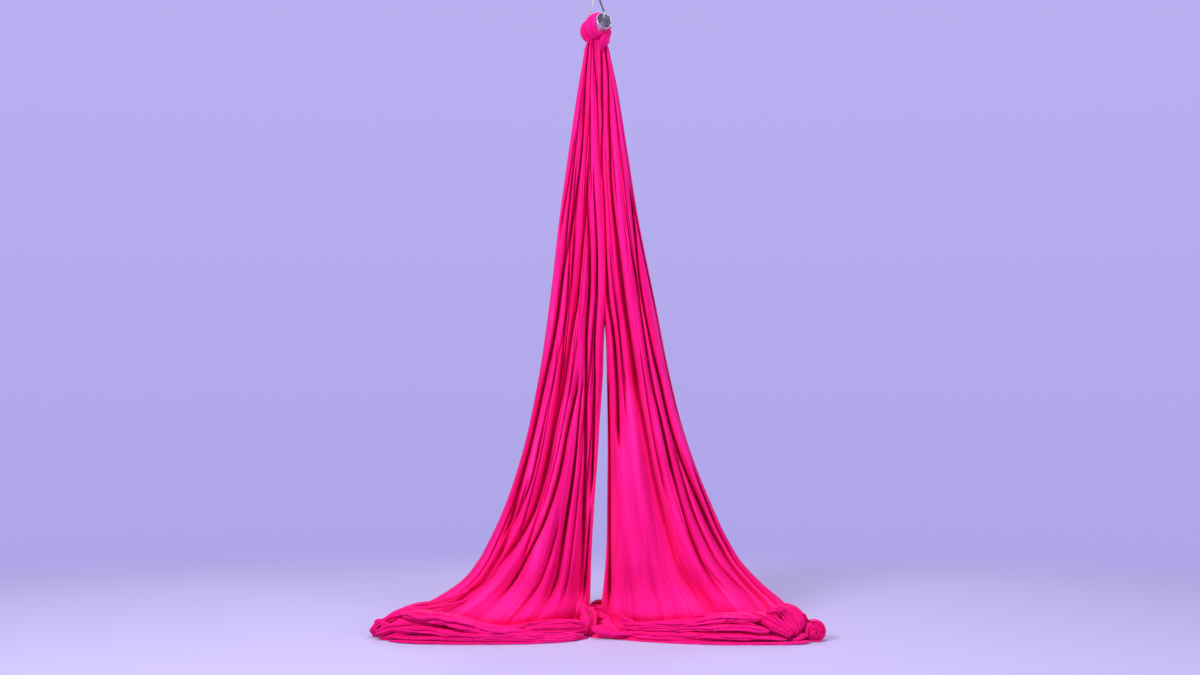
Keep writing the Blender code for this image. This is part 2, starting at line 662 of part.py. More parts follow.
THIMBLE_SEAT = WIRE_RADIUS + SEAT_GAP + THIMBLE_WALL
WIRE_CROWN_Z = LINK_FOOT_Z + LINK_ROD_RADIUS + SEAT_GAP + THIMBLE_SEAT
WIRE_EYE_Z = WIRE_CROWN_Z - EYE_BEND_RADIUS
STRAND_HALF = WIRE_RADIUS + SEAT_GAP / 2
FERRULE_TOP_Z = WIRE_EYE_Z - EYE_TO_FERRULE
FERRULE_LOW_Z = FERRULE_TOP_Z - FERRULE_LENGTH
LEG_TOP_Z = FERRULE_LOW_Z - FERRULE_LEAD
RUN_UP = TUBE_RADIUS - TUBE_WALL + RIM_BEND_RISE - RIM_BEND_RADIUS


def tangent_angle(point, centre, radius, side):
    """The angle on a circle where the line from a point outside touches it."""
    away = Vector(point) - Vector(centre)
    base = math.atan2(away.y, away.x)
    return base + side * math.acos(radius / away.length)


def on_circle(centre, radius, angle):
    """A point of a circle."""
    return (centre[0] + radius * math.cos(angle), centre[1] + radius * math.sin(angle))


def tube_point(along, up):
    """A point of the tube's own frame, in the rig's X and Z."""
    x = along * math.cos(TUBE_TILT) - up * math.sin(TUBE_TILT)
    z = along * math.sin(TUBE_TILT) + up * math.cos(TUBE_TILT)
    return (x, z - CEILING_TO_TUBE)


def eye_half_path():
    """The +X half of the sling's eye, from the crown down to where its straight part starts."""
    centre = (0, WIRE_EYE_Z)
    foot = (STRAND_HALF, FERRULE_TOP_Z)
    touch = tangent_angle(foot, centre, EYE_BEND_RADIUS, 1)
    sweep = touch - math.pi / 2
    return [on_circle(centre, EYE_BEND_RADIUS, math.pi / 2 + sweep * i / 9) for i in range(10)]


def sling_path():
    """The sling's route in the rig's X and Z, from its joint in the tube and round to its joint again."""
    eye = eye_half_path()
    bend_up = RUN_UP + RIM_BEND_RADIUS
    front_centre = tube_point(TUBE_SHIFT + TUBE_LENGTH / 2 - RIM_BEND_INSET, bend_up)
    back_centre = tube_point(TUBE_SHIFT - TUBE_LENGTH / 2 + RIM_BEND_INSET, bend_up)
    down = TUBE_TILT - math.pi / 2
    front = tangent_angle((STRAND_HALF, LEG_TOP_Z), front_centre, RIM_BEND_RADIUS, -1)
    back = tangent_angle((-STRAND_HALF, LEG_TOP_Z), back_centre, RIM_BEND_RADIUS, 1)
    start = tube_point(TUBE_SHIFT + JOINT_END_GAP / 2, RUN_UP)
    end = tube_point(TUBE_SHIFT - JOINT_END_GAP / 2, RUN_UP)
    path = [start]
    path += [on_circle(front_centre, RIM_BEND_RADIUS, down + (front - down) * i / 9) for i in range(10)]
    path += [(STRAND_HALF, LEG_TOP_Z), (STRAND_HALF, FERRULE_LOW_Z), (STRAND_HALF, FERRULE_TOP_Z)]
    path += list(reversed(eye))
    path += [(-x, z) for x, z in eye[1:]]
    path += [(-STRAND_HALF, FERRULE_TOP_Z), (-STRAND_HALF, FERRULE_LOW_Z), (-STRAND_HALF, LEG_TOP_Z)]
    back_from = back if back > 0 else back + math.tau
    back_to = down + math.tau
    path += [
        on_circle(back_centre, RIM_BEND_RADIUS, back_from + (back_to - back_from) * i / 9) for i in range(10)
    ]
    path.append(end)
    return [(x, 0, z) for x, z in path]


def swept(name, path, section, side):
    """A closed section carried along a flat path in the rig's X and Z, its first coordinate to side."""
    bm = bmesh.new()
    rings = []
    last = len(path) - 1
    for i, (x, z) in enumerate(path):
        a = Vector(path[max(i - 1, 0)])
        b = Vector(path[min(i + 1, last)])
        along = (b - a).normalized()
        out = Vector((along.y, -along.x)) * side
        rings.append([bm.verts.new((x + out.x * u, v, z + out.y * u)) for u, v in section])
    size = len(section)
    for i in range(last):
        for j in range(size):
            k = (j + 1) % size
            bm.faces.new((rings[i][j], rings[i][k], rings[i + 1][k], rings[i + 1][j]))
    bm.faces.new(rings[0])
    bm.faces.new(rings[-1])
    return mesh_from(name, bm)


def make_sling(sling, steel, wire_steel):
    """The wire rope, the thimble in its eye and the two pressed sleeves."""
    at = (0, 0, LINK_FOOT_Z)
    rod("wire_sling", sling_path(), WIRE_RADIUS, wire_steel, 2, pivot=sling, offset=at)
    half = eye_half_path()
    share = THIMBLE_LEG_SHARE
    touch = half[-1]
    half.append((touch[0] + (STRAND_HALF - touch[0]) * share, touch[1] + (FERRULE_TOP_Z - touch[1]) * share))
    route = list(reversed(half)) + [(-x, z) for x, z in half[1:]]
    groove = WIRE_RADIUS + SEAT_GAP
    section = []
    reach = math.radians(78)
    for i in range(7):
        angle = -reach + 2 * reach * i / 6
        section.append((groove * math.cos(angle), groove * math.sin(angle)))
    for i in range(7):
        angle = reach - 2 * reach * i / 6
        section.append(((groove + THIMBLE_WALL) * math.cos(angle), (groove + THIMBLE_WALL) * math.sin(angle)))
    place("thimble", swept("thimble", route, section, -1), steel, sling, at)
    bore = stadium(STRAND_HALF, WIRE_RADIUS + SEAT_GAP, 8)
    wall = stadium(STRAND_HALF, WIRE_RADIUS + SEAT_GAP + FERRULE_WALL, 8)
    sleeve = extruded("eye_ferrule", [wall, bore], FERRULE_LOW_Z, FERRULE_TOP_Z)
    place("eye_ferrule", sleeve, steel, sling, at)
    inner = WIRE_RADIUS + SEAT_GAP
    ring = ring_profile(inner, inner + JOINT_WALL, -JOINT_LENGTH / 2, JOINT_LENGTH / 2)
    tube = turned("joint_ferrule", ring, SMALL_STEPS)
    x, z = tube_point(TUBE_SHIFT, RUN_UP)
    turn = Matrix.Rotation(math.pi / 2 - TUBE_TILT, 4, "Y")
    place("joint_ferrule", moved(tube, Matrix.Translation((x, 0, z)) @ turn), steel, sling, at)


def make_tube(tube, steel, silk):
    """The steel tube and the silk wound on it, about the tube's own X."""
    half = TUBE_LENGTH / 2
    wrap_low = TUBE_SHIFT - half + WRAP_BACK_MARGIN
    inner = TUBE_RADIUS - TUBE_WALL
    edge = TUBE_EDGE
    profile = [
        (TUBE_RADIUS - edge, half), (TUBE_RADIUS, half - edge), (TUBE_RADIUS, edge - half),
        (TUBE_RADIUS - edge, -half), (inner + edge, -half), (inner, edge - half),
        (inner, half - edge), (inner + edge, half),
    ]
    lie = Matrix.Translation((TUBE_SHIFT, 0, 0)) @ Matrix.Rotation(math.pi / 2, 4, "Y")
    place("hanging_tube", moved(turned("hanging_tube", profile, 36), lie), steel, tube)

    bm = bmesh.new()
    rings = []
    for i in range(WRAP_STEPS):
        angle = math.tau * i / WRAP_STEPS
        upness = (1 + math.cos(angle)) / 2
        leftness = (1 + math.sin(angle)) / 2
        thick = WRAP_THIN + (WRAP_THICK - WRAP_THIN) * min(1, upness / WRAP_TOP_SHARE)
        wide = TUBE_SHIFT + half - WRAP_FRONT_MARGIN + WRAP_SLANT * leftness - wrap_low
        ring = []
        for j in range(WRAP_POINTS):
            share = j / (WRAP_POINTS - 1)
            bulge = (1 - abs(2 * share - 1) ** 3) ** 0.5 if 0 < share < 1 else 0
            off_valley = (share - WRAP_VALLEY_SHARE) / WRAP_VALLEY_WIDTH_SHARE
            lobe = leftness * (WRAP_LOBE * upness - WRAP_VALLEY * math.exp(-off_valley * off_valley))
            radius = TUBE_RADIUS + 2 * SEAT_GAP + (thick + lobe) * bulge
            along = wrap_low + wide * share
            ring.append(bm.verts.new((along, -radius * math.sin(angle), radius * math.cos(angle))))
        for j in range(3, 0, -1):
            radius = TUBE_RADIUS + SEAT_GAP
            along = wrap_low + wide * j / 4
            ring.append(bm.verts.new((along, -radius * math.sin(angle), radius * math.cos(angle))))
        rings.append(ring)
    for i in range(WRAP_STEPS):
        here = rings[i]
        there = rings[(i + 1) % WRAP_STEPS]
        for j in range(len(here)):
            k = (j + 1) % len(here)
            bm.faces.new((here[j], here[k], there[k], there[j]))
    place("hitch_wrap", mesh_from("hitch_wrap", bm, 80), silk, tube)


def make_bight(tube, silk):
    """The fold that comes from under the tube on the right and crosses the front of the neck."""
    last = len(BIGHT_CENTRE_SHARES) - 1
    tables = [[(i, p[axis]) for i, p in enumerate(BIGHT_CENTRE_SHARES)] for axis in range(3)]
    widths = list(enumerate(BIGHT_WIDTH_SHARES))
    hang = Vector((0, 0, -CEILING_TO_TUBE))
    centres = []
    for i in range(BIGHT_STEPS + 1):
        at = last * i / BIGHT_STEPS
        centres.append(hang + BIGHT_SCALE * Vector([smooth_through(table, at) for table in tables]))
    bm = bmesh.new()
    rings = []
    for i, centre in enumerate(centres):
        along = (centres[min(i + 1, BIGHT_STEPS)] - centres[max(i - 1, 0)]).normalized()
        out = Vector((centre.x, centre.y, 0))
        out = (out - along * out.dot(along)).normalized()
        wide = along.cross(out)
        half = smooth_through(widths, last * i / BIGHT_STEPS) * BIGHT_SCALE
        share = i / BIGHT_STEPS
        thick = BIGHT_THICK * max(BIGHT_END_SHARE, (1 - abs(2 * share - 1) ** 4) ** 0.5)
        rings.append([
            bm.verts.new(centre + out * (u * thick) + wide * (v * half)) for u, v in circle(1, BIGHT_POINTS)
        ])
    for a, b in zip(rings, rings[1:]):
        for j in range(BIGHT_POINTS):
            k = (j + 1) % BIGHT_POINTS
            bm.faces.new((a[j], a[k], b[k], b[j]))
    bm.faces.new(rings[0])
    bm.faces.new(rings[-1])
    back = tube.matrix_world.inverted()
    place("hitch_bight", moved(mesh_from("hitch_bight", bm, 80), back), silk, tube)


NECK_Z = -CEILING_TO_TUBE - (TUBE_RADIUS + WRAP_THIN + 2 * SEAT_GAP) / math.cos(TUBE_TILT) - TAIL_TOP_GAP
TAIL_PIVOT_Z = NECK_Z + TAIL_PIVOT_RISE
SEAT_Z = FLOOR_Z + TAIL_SEAT_HEIGHT


def tail_span(share, side):
    """The slit edge and the outer edge of a tail, in X, at a share of the drop."""
    middle = smooth_through(SLIT_MIDDLE_SHARES, share) * TAIL_SPREAD
    opening = max(0, smooth_through(SLIT_OPEN_SHARES, share)) * TAIL_SPREAD + TAIL_SPLIT_GAP / 2
    edges = LEFT_EDGE_SHARES if side < 0 else RIGHT_EDGE_SHARES
    return middle + side * opening, side * smooth_through(edges, share) * TAIL_SPREAD


def tail_section(share, side, folds):
    """One level of a tail: the folded front from slit to outer edge, then the back again."""
    inner, outer = tail_span(share, side)
    depth = smooth_through(DEPTH_SHARES, share) * TAIL_DEPTH
    middle = -TAIL_LEAN * share**3
    fold_depth = FOLD_DEPTH_SHARE * depth
    count = folds * FOLD_POINTS
    panel = PANEL_SHARE * min(1, max(0, (share - PANEL_FROM_SHARE) * 4)) if side > 0 else 0
    front = []
    back = []
    for i in range(count + 1):
        s = i / count
        x = inner + (outer - inner) * s
        arch = ARCH_SHARE * max(ARCH_LEAST_SHARE, (1 - abs(2 * s - 1) ** 3.5) ** 0.6)
        calm = PANEL_CALM_SHARE if s < panel else 1
        ease = fold_depth * min(1, s / FOLD_EDGE_SHARE, (1 - s) / FOLD_EDGE_SHARE)
        turn = math.tau * folds * s
        wave = ease * calm * math.cos(turn + FOLD_DRIFT_SHARE * share)
        rear = ease * math.cos(turn + FOLD_REAR_PHASE + share)
        front.append((x, middle - depth * arch + wave))
        back.append((x, middle + depth * arch + rear))
    return front + list(reversed(back))


def make_tail(name, side, folds, pivot, silk):
    """A hanging tail, from the hitch down to its seat on the cloth that lies on the floor."""
    drop = NECK_Z - FLOOR_Z
    shares = [0.0] + list(ROW_SHARES) + [(NECK_Z - SEAT_Z) / drop]
    bm = bmesh.new()
    rows = []
    ahead = Vector((math.cos(RIG_TURN), math.sin(RIG_TURN)))
    for share in shares:
        z = NECK_Z - drop * share
        fade = max(0, 1 - drop * share / TAIL_FADE)
        row = []
        for x, y in tail_section(share, side, folds):
            rise = fade * math.tan(TUBE_TILT) * ahead.dot(Vector((x, y)))
            row.append(bm.verts.new((x, y, z + rise)))
        rows.append(row)
    size = len(rows[0])
    for a, b in zip(rows, rows[1:]):
        for j in range(size):
            k = (j + 1) % size
            bm.faces.new((a[j], a[k], b[k], b[j]))
    half = size // 2
    for row in (rows[0], rows[-1]):
        for j in range(half - 1):
            bm.faces.new((row[j], row[j + 1], row[size - 2 - j], row[size - 1 - j]))
    place(name, mesh_from(name, bm, 180), silk, pivot, (tail_span(0, side)[1], 0, TAIL_PIVOT_Z))


def over_tail_foot(x, y, side, folds):
    """Whether a point lies under the tail's foot or within a margin of it."""
    foot = tail_section((NECK_Z - SEAT_Z) / (NECK_Z - FLOOR_Z), side, folds)
    xs = [p[0] for p in foot]
    ys = [p[1] for p in foot]
    m = POOL_SEAT_MARGIN
    return min(xs) - m < x < max(xs) + m and min(ys) - m < y < max(ys) + m


def make_pool(name, side, folds, pivot, hinge, silk):
    """The cloth that lies on the floor: a low mound with long folds and a flat foot."""
    half_x = (POOL_REACH - POOL_SLIT) / 2
    half_y = (POOL_FRONT + POOL_BACK) / 2
    centre = Vector((side * (POOL_SLIT + half_x), (POOL_BACK - POOL_FRONT) / 2))
    bm = bmesh.new()
    rings = []
    power = 2 / POOL_ROUND_POWER
    for i in range(1, POOL_RINGS + 1):
        out = (i / POOL_RINGS) ** POOL_RING_POWER
        ring = []
        for j in range(POOL_SPOKES):
            angle = math.tau * j / POOL_SPOKES
            c = math.cos(angle)
            s = math.sin(angle)
            x = centre.x + half_x * out * math.copysign(abs(c) ** power, c)
            y = centre.y + half_y * out * math.copysign(abs(s) ** power, s)
            toward_end = max(0, abs(x) - POOL_TAPER_FROM) / POOL_TAPER_LENGTH
            if y > centre.y:
                y = centre.y + (y - centre.y) * (1 - POOL_BACK_TAPER_SHARE * toward_end**1.5)
            edge = (1 - out**6) ** 0.5 if out < 1 else 0
            edge *= 1 - POOL_HEIGHT_TAPER_SHARE * toward_end
            drift = POOL_FOLD_PITCH * math.sin(3 * (x - centre.x) / half_x)
            turn = math.tau * (y + POOL_DRIFT_SHARE * drift) / POOL_FOLD_PITCH
            fold = 1 + POOL_FOLD_SHARE * math.cos(turn)
            height = POOL_LIP + (POOL_HEIGHT - POOL_LIP) / (1 + POOL_FOLD_SHARE) * fold * edge
            if over_tail_foot(x, y, side, folds):
                height = min(height, TAIL_SEAT_HEIGHT - SEAT_GAP)
            ring.append(bm.verts.new((x, y, FLOOR_Z + height)))
        rings.append(ring)
    top = bm.verts.new((centre.x, centre.y, FLOOR_Z + TAIL_SEAT_HEIGHT - SEAT_GAP))
    foot_ring = []
    for v in rings[-1]:
        inward = (Vector((v.co.x, v.co.y)) - centre) * POOL_FOOT_SHARE + centre
        foot_ring.append(bm.verts.new((inward.x, inward.y, FLOOR_Z)))
    rings.append(foot_ring)
    for j in range(POOL_SPOKES):
        k = (j + 1) % POOL_SPOKES
        bm.faces.new((top, rings[0][j], rings[0][k]))
        for a, b in zip(rings, rings[1:]):
            bm.faces.new((a[j], b[j], b[k], a[k]))
    bm.faces.new(foot_ring)
    place(name, mesh_from(name, bm, 180), silk, pivot, hinge)


def main():
    """Builds every piece on its pivot."""
    clear_scene()
    plate_paint = finish("plate_paint", POWDER_WHITE, 0.45, 0.0)
    steel = finish("bright_steel", STEEL, 0.28, 1.0)
    dark = finish("dark_steel", DARK_STEEL, 0.35, 1.0)
    bronze = finish("bronze", BRONZE, 0.4, 1.0)
    wire_steel = finish("wire_steel", STEEL, 0.35, 1.0)
    silk = finish("silk", PINK, 0.5, 0.0)

    make_ceiling_plate(plate_paint)
    make_housing(plate_paint, dark, bronze)
    make_bearing(steel, bronze)
    rig = empty("rig_turn", (0, 0, 0), turn=(0, 0, RIG_TURN))
    make_eye(rig, steel, dark)
    link = empty("carabiner_pivot", (0, 0, LINK_PIVOT_Z), rig)
    gate_pivot = empty("gate_pivot", (0, LINK_BOW_RADIUS, GATE_PIN_Z - LINK_PIVOT_Z), link)
    make_carabiner(link, gate_pivot, steel, dark)
    sling = empty("sling_pivot", (0, 0, LINK_FOOT_Z - LINK_PIVOT_Z), link)
    make_sling(sling, steel, wire_steel)
    tube = empty("tube_axis", (0, 0, -CEILING_TO_TUBE - LINK_FOOT_Z), sling, (0, -TUBE_TILT, 0))
    make_tube(tube, steel, silk)
    bpy.context.view_layer.update()
    make_bight(tube, silk)
    seat = (NECK_Z - SEAT_Z) / (NECK_Z - FLOOR_Z)
    for name, side, folds in (("left", -1, LEFT_FOLDS), ("right", 1, RIGHT_FOLDS)):
        pivot = empty(f"{name}_tail_pivot", (tail_span(0, side)[1], 0, TAIL_PIVOT_Z))
        make_tail(f"{name}_tail", side, folds, pivot, silk)
        hinge = (tail_span(seat, side)[0], 0, SEAT_Z)
        pool_pivot = empty(f"{name}_pool_pivot", hinge)
        make_pool(f"{name}_pool", side, folds, pool_pivot, hinge, silk)


main()
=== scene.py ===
"""Aerial silks, dressed: pink stretch tricot hitched round a steel tube on a wire rope sling.

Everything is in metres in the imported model's own frame: the origin is the middle of the ceiling plate's
top face, +X runs along the spread of the two tails and -Y points at the viewer.
"""

from __future__ import annotations

import json
import logging
import math
from dataclasses import dataclass
from enum import Enum
from typing import Sequence

import bmesh
import bpy
import numpy as np
from mathutils import Matrix, Vector

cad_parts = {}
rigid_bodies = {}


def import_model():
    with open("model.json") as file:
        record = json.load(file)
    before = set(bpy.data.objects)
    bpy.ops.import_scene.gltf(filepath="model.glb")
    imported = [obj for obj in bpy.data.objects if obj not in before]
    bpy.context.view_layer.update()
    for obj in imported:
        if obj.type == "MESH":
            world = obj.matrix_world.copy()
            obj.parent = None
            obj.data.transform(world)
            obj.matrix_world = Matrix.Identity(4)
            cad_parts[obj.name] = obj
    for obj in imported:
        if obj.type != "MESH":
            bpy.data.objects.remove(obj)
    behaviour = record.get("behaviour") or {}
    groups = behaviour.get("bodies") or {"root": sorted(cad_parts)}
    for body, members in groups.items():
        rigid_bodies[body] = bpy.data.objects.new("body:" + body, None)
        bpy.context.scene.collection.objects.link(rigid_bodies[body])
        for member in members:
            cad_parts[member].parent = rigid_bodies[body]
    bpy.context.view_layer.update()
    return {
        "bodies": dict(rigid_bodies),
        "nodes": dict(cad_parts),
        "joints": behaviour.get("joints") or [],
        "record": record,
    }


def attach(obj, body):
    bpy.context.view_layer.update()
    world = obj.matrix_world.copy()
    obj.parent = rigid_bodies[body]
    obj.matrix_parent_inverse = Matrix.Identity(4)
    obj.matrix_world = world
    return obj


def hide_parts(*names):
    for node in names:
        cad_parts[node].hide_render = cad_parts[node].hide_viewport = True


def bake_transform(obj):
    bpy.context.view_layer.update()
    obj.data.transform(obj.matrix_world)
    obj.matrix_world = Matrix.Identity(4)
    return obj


MM = 0.001
LOG = logging.getLogger("aerial_silks")

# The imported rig: the tube's middle, the floor, the neck under the hitch, and how the tube points.
TUBE_Z = -0.468
FLOOR_Z = -3.146
NECK_Z = -0.5165
RIG_TURN = math.radians(-63)
TUBE_TILT = math.radians(15)

# The width that this cloth is sold in, the UV map of places on it, and how near two points are one.
CLOTH_WIDTH = 2.75
CLOTH_MAP = "cloth"
WELD = 0.02 * MM

# The camera that took the photograph, and its frame in pixels.
CAMERA_PLACE = (0.0225, -7.0, -1.852)
SENSOR = 36.0
LENS = 46.67
FRAME_WIDE = 1200
FRAME_HIGH = 675

Array = np.ndarray
Table = Sequence[tuple[float, float]]


class Side(Enum):
    """Which of the two tails."""

    LEFT = -1
    RIGHT = 1


class Hold(Enum):
    HUNG = "hung"
    LAID = "laid"
    GATHERED = "gathered"


def linear(code: str) -> tuple[float, float, float, float]:
    """Turns an sRGB hex colour into the linear values that a shader takes.

    Args:
        code: the colour, such as "#F5127F".

    Returns:
        Red, green, blue and an alpha of one.
    """
    values = [int(code[i : i + 2], 16) / 255 for i in (1, 3, 5)]
    r, g, b = [v / 12.92 if v <= 0.04045 else ((v + 0.055) / 1.055) ** 2.4 for v in values]
    return (r, g, b, 1.0)


def seen(column: float, row: float, y: float) -> tuple[float, float, float]:
    """Where a point of the photograph lies, once its distance is known.

    Args:
        column: pixels from the left edge of the 1200 by 675 frame.
        row: pixels from its top edge.
        y: the point's world Y.

    Returns:
        The point, in the world.
    """
    reach = (y - CAMERA_PLACE[1]) * SENSOR / LENS / FRAME_WIDE
    return (
        CAMERA_PLACE[0] + (column - FRAME_WIDE / 2) * reach,
        y,
        CAMERA_PLACE[2] - (row - FRAME_HIGH / 2) * reach,
    )


def curve_at(table: Table, at: Array) -> Array:
    """Reads a smooth curve through (place, value) pairs.

    Args:
        table: the pairs, with their places rising.
        at: the places to read.

    Returns:
        The values there, held level past either end.
    """
    xs = np.array([p[0] for p in table])
    ys = np.array([p[1] for p in table])
    slopes = np.gradient(ys, xs) if len(xs) > 2 else np.full(len(xs), (ys[-1] - ys[0]) / (xs[-1] - xs[0]))
    x = np.clip(np.asarray(at, dtype=float), xs[0], xs[-1])
    k = np.clip(np.searchsorted(xs, x, side="right") - 1, 0, len(xs) - 2)
    width = xs[k + 1] - xs[k]
    t = (x - xs[k]) / width
    start = (2 * t**3 - 3 * t**2 + 1) * ys[k] + (t**3 - 2 * t**2 + t) * width * slopes[k]
    end = (3 * t**2 - 2 * t**3) * ys[k + 1] + (t**3 - t**2) * width * slopes[k + 1]
    return start + end


def ease(low: float, high: float, at: Array) -> Array:
    """A smooth step from 0 at low to 1 at high.

    Args:
        low: where it starts to rise.
        high: where it is one.
        at: the places to read.

    Returns:
        The step's values.
    """
    t = np.clip((np.asarray(at, dtype=float) - low) / (high - low), 0, 1)
    return t * t * (3 - 2 * t)


def path_at(rows: Array, at: Array) -> Array:
    """Reads a smooth path through points, the first of them at 0, the next at 1 and so on.

    Args:
        rows: the points, rows by coordinates.
        at: the places to read.

    Returns:
        The path's points there.
    """
    return np.stack([curve_at(list(enumerate(column)), at) for column in rows.T], -1)


def taper(share: Array, over: float, blunt: float = 0.0) -> Array:
    """One along the middle, and down toward 0 over the given share at either end."""
    return np.minimum(1, np.minimum(share + blunt, 1 + blunt - share) / over)


def ridge(phase: Array) -> Array:
    """Folds with sharp crests at 1, one for each half turn of the phase."""
    return 1 - np.abs(np.sin(phase))


def unit(rows: Array) -> Array:
    """Each row's vector at a length of one."""
    return rows / np.linalg.norm(rows, axis=1, keepdims=True)


def once_round(count: int) -> Array:
    """Even angles once round a section."""
    return np.linspace(0, math.tau, count, endpoint=False)


def side_by_side(*parts: Array) -> Array:
    """Spreads the parts over one grid and makes them the coordinates of its points."""
    return np.stack(np.broadcast_arrays(*parts), -1)


class Noise:
    """Smooth seeded noise on a wrapped grid of random values."""

    SIZE = 64
    STEP = (17.3, 5.7)
    TOTAL = 1.75
    """STEP moves each finer copy away from the last, and TOTAL is what three copies add up to."""

    def __init__(self, seed: int) -> None:
        """Draws the grid.

        Args:
            seed: the fixed seed.
        """
        self.grid = np.random.default_rng(seed).uniform(-1, 1, (self.SIZE, self.SIZE))

    def at(self, x: Array, y: Array) -> Array:
        """Reads the noise.

        Args:
            x: places across the grid, in cells.
            y: places along the grid, in cells.

        Returns:
            Values from -1 to 1.
        """
        x, y = np.broadcast_arrays(np.asarray(x, dtype=float), np.asarray(y, dtype=float))
        i = np.floor(x).astype(int)
        j = np.floor(y).astype(int)
        u = x - i
        v = y - j
        u = u * u * (3 - 2 * u)
        v = v * v * (3 - 2 * v)
        n = self.SIZE
        a = self.grid[i % n, j % n] * (1 - u) + self.grid[(i + 1) % n, j % n] * u
        b = self.grid[i % n, (j + 1) % n] * (1 - u) + self.grid[(i + 1) % n, (j + 1) % n] * u
        return a * (1 - v) + b * v

    def rough(self, x: Array, y: Array, octaves: int = 3) -> Array:
        """Adds finer and weaker copies of the noise.

        Args:
            x: places across the grid, in cells.
            y: places along the grid, in cells.
            octaves: how many copies.

        Returns:
            Values from about -1 to 1.
        """
        total = np.zeros(np.broadcast(x, y).shape)
        for k in range(octaves):
            finer = 2**k
            across = np.asarray(x) * finer + self.STEP[0] * k
            total = total + self.at(across, np.asarray(y) * finer + self.STEP[1] * k) / finer
        return total / self.TOTAL


def grid_mesh(
    name: str, points: Array, round_u: bool = False, round_v: bool = False, uv: Array | None = None
) -> bpy.types.Mesh:
    """Makes a mesh of quads from a grid of points.

    Args:
        name: the mesh's name.
        points: rows by columns by three.
        round_u: whether the last row meets the first.
        round_v: whether the last column meets the first.
        uv: the cloth's own places in metres, rows by columns by two.

    Returns:
        The mesh, smooth shaded.
    """
    rows, columns = points.shape[:2]
    index = np.arange(rows * columns).reshape(rows, columns)
    down = index if round_u else index[:-1]
    next_down = np.roll(index, -1, 0) if round_u else index[1:]
    if round_v:
        quads = np.stack([down, np.roll(down, -1, 1), np.roll(next_down, -1, 1), next_down], -1)
    else:
        quads = np.stack([down[:, :-1], down[:, 1:], next_down[:, 1:], next_down[:, :-1]], -1)
    quads = quads.reshape(-1, 4)
    mesh = bpy.data.meshes.new(name)
    mesh.from_pydata(points.reshape(-1, 3).tolist(), [], quads.tolist())
    if uv is not None:
        layer = mesh.uv_layers.new(name=CLOTH_MAP)
        layer.data.foreach_set("uv", uv.reshape(-1, 2)[quads.reshape(-1)].astype(np.float32).reshape(-1))
    mesh.shade_smooth()
    mesh.validate()
    middle = points.reshape(-1, 3).mean(0)
    centres = np.empty(len(mesh.polygons) * 3)
    normals = np.empty(len(mesh.polygons) * 3)
    mesh.polygons.foreach_get("center", centres)
    mesh.polygons.foreach_get("normal", normals)
    if np.sum((centres.reshape(-1, 3) - middle) * normals.reshape(-1, 3)) < 0:
        mesh.flip_normals()
    return mesh


def piece(name: str, mesh: bpy.types.Mesh, finish: bpy.types.Material) -> bpy.types.Object:
    """Links a mesh into the scene as a finished piece at the origin.

    Args:
        name: the piece's name.
        mesh: its mesh, in place.
        finish: its material.

    Returns:
        The object.
    """
    mesh.materials.clear()
    mesh.materials.append(finish)
    obj = bpy.data.objects.new(name, mesh)
    bpy.context.scene.collection.objects.link(obj)
    LOG.info("%s: %d faces", name, len(mesh.polygons))
    return obj


def joined(name: str, meshes: Sequence[bpy.types.Mesh]) -> bpy.types.Mesh:
    """Puts several meshes into one.

    Args:
        name: the new mesh's name.
        meshes: the meshes, which are removed.

    Returns:
        The new mesh.
    """
    bm = bmesh.new()
    for mesh in meshes:
        bm.from_mesh(mesh)
        bpy.data.meshes.remove(mesh)
    bmesh.ops.remove_doubles(bm, verts=bm.verts, dist=WELD)
    made = bpy.data.meshes.new(name)
    bm.to_mesh(made)
    bm.free()
    made.shade_smooth()
    return made


def add(
    tree: bpy.types.NodeTree,
    kind: str,
    settings: dict[str, object] | None = None,
    links: dict[str | int, object] | None = None,
    stops: Sequence[tuple[float, tuple[float, float, float, float]]] = (),
) -> bpy.types.Node:
    """Adds one node with its settings and what is linked or set on its inputs.

    Args:
        tree: the node tree.
        kind: the node's type name.
        settings: attributes of the node.
        links: for each input, a socket to link from or a plain value.
        stops: places and colours, where the node is a colour ramp.

    Returns:
        The node.
    """
    made = tree.nodes.new(kind)
    for key, value in (settings or {}).items():
        setattr(made, key, value)
    for extra in range(len(stops) - 2):
        made.color_ramp.elements.new(0.5)
    for element, (place, colour) in zip(made.color_ramp.elements if stops else (), stops):
        element.position = place
        element.color = colour
    for key, value in (links or {}).items():
        if isinstance(value, bpy.types.NodeSocket):
            tree.links.new(value, made.inputs[key])
        else:
            made.inputs[key].default_value = value
    return made


def new_finish(name: str) -> tuple[bpy.types.Material, bpy.types.NodeTree, bpy.types.Node]:
    """Starts a finish.

    Args:
        name: the material's name.

    Returns:
        The material, its node tree and its shader.
    """
    material = bpy.data.materials.new(name)
    material.use_nodes = True
    return material, material.node_tree, material.node_tree.nodes["Principled BSDF"]


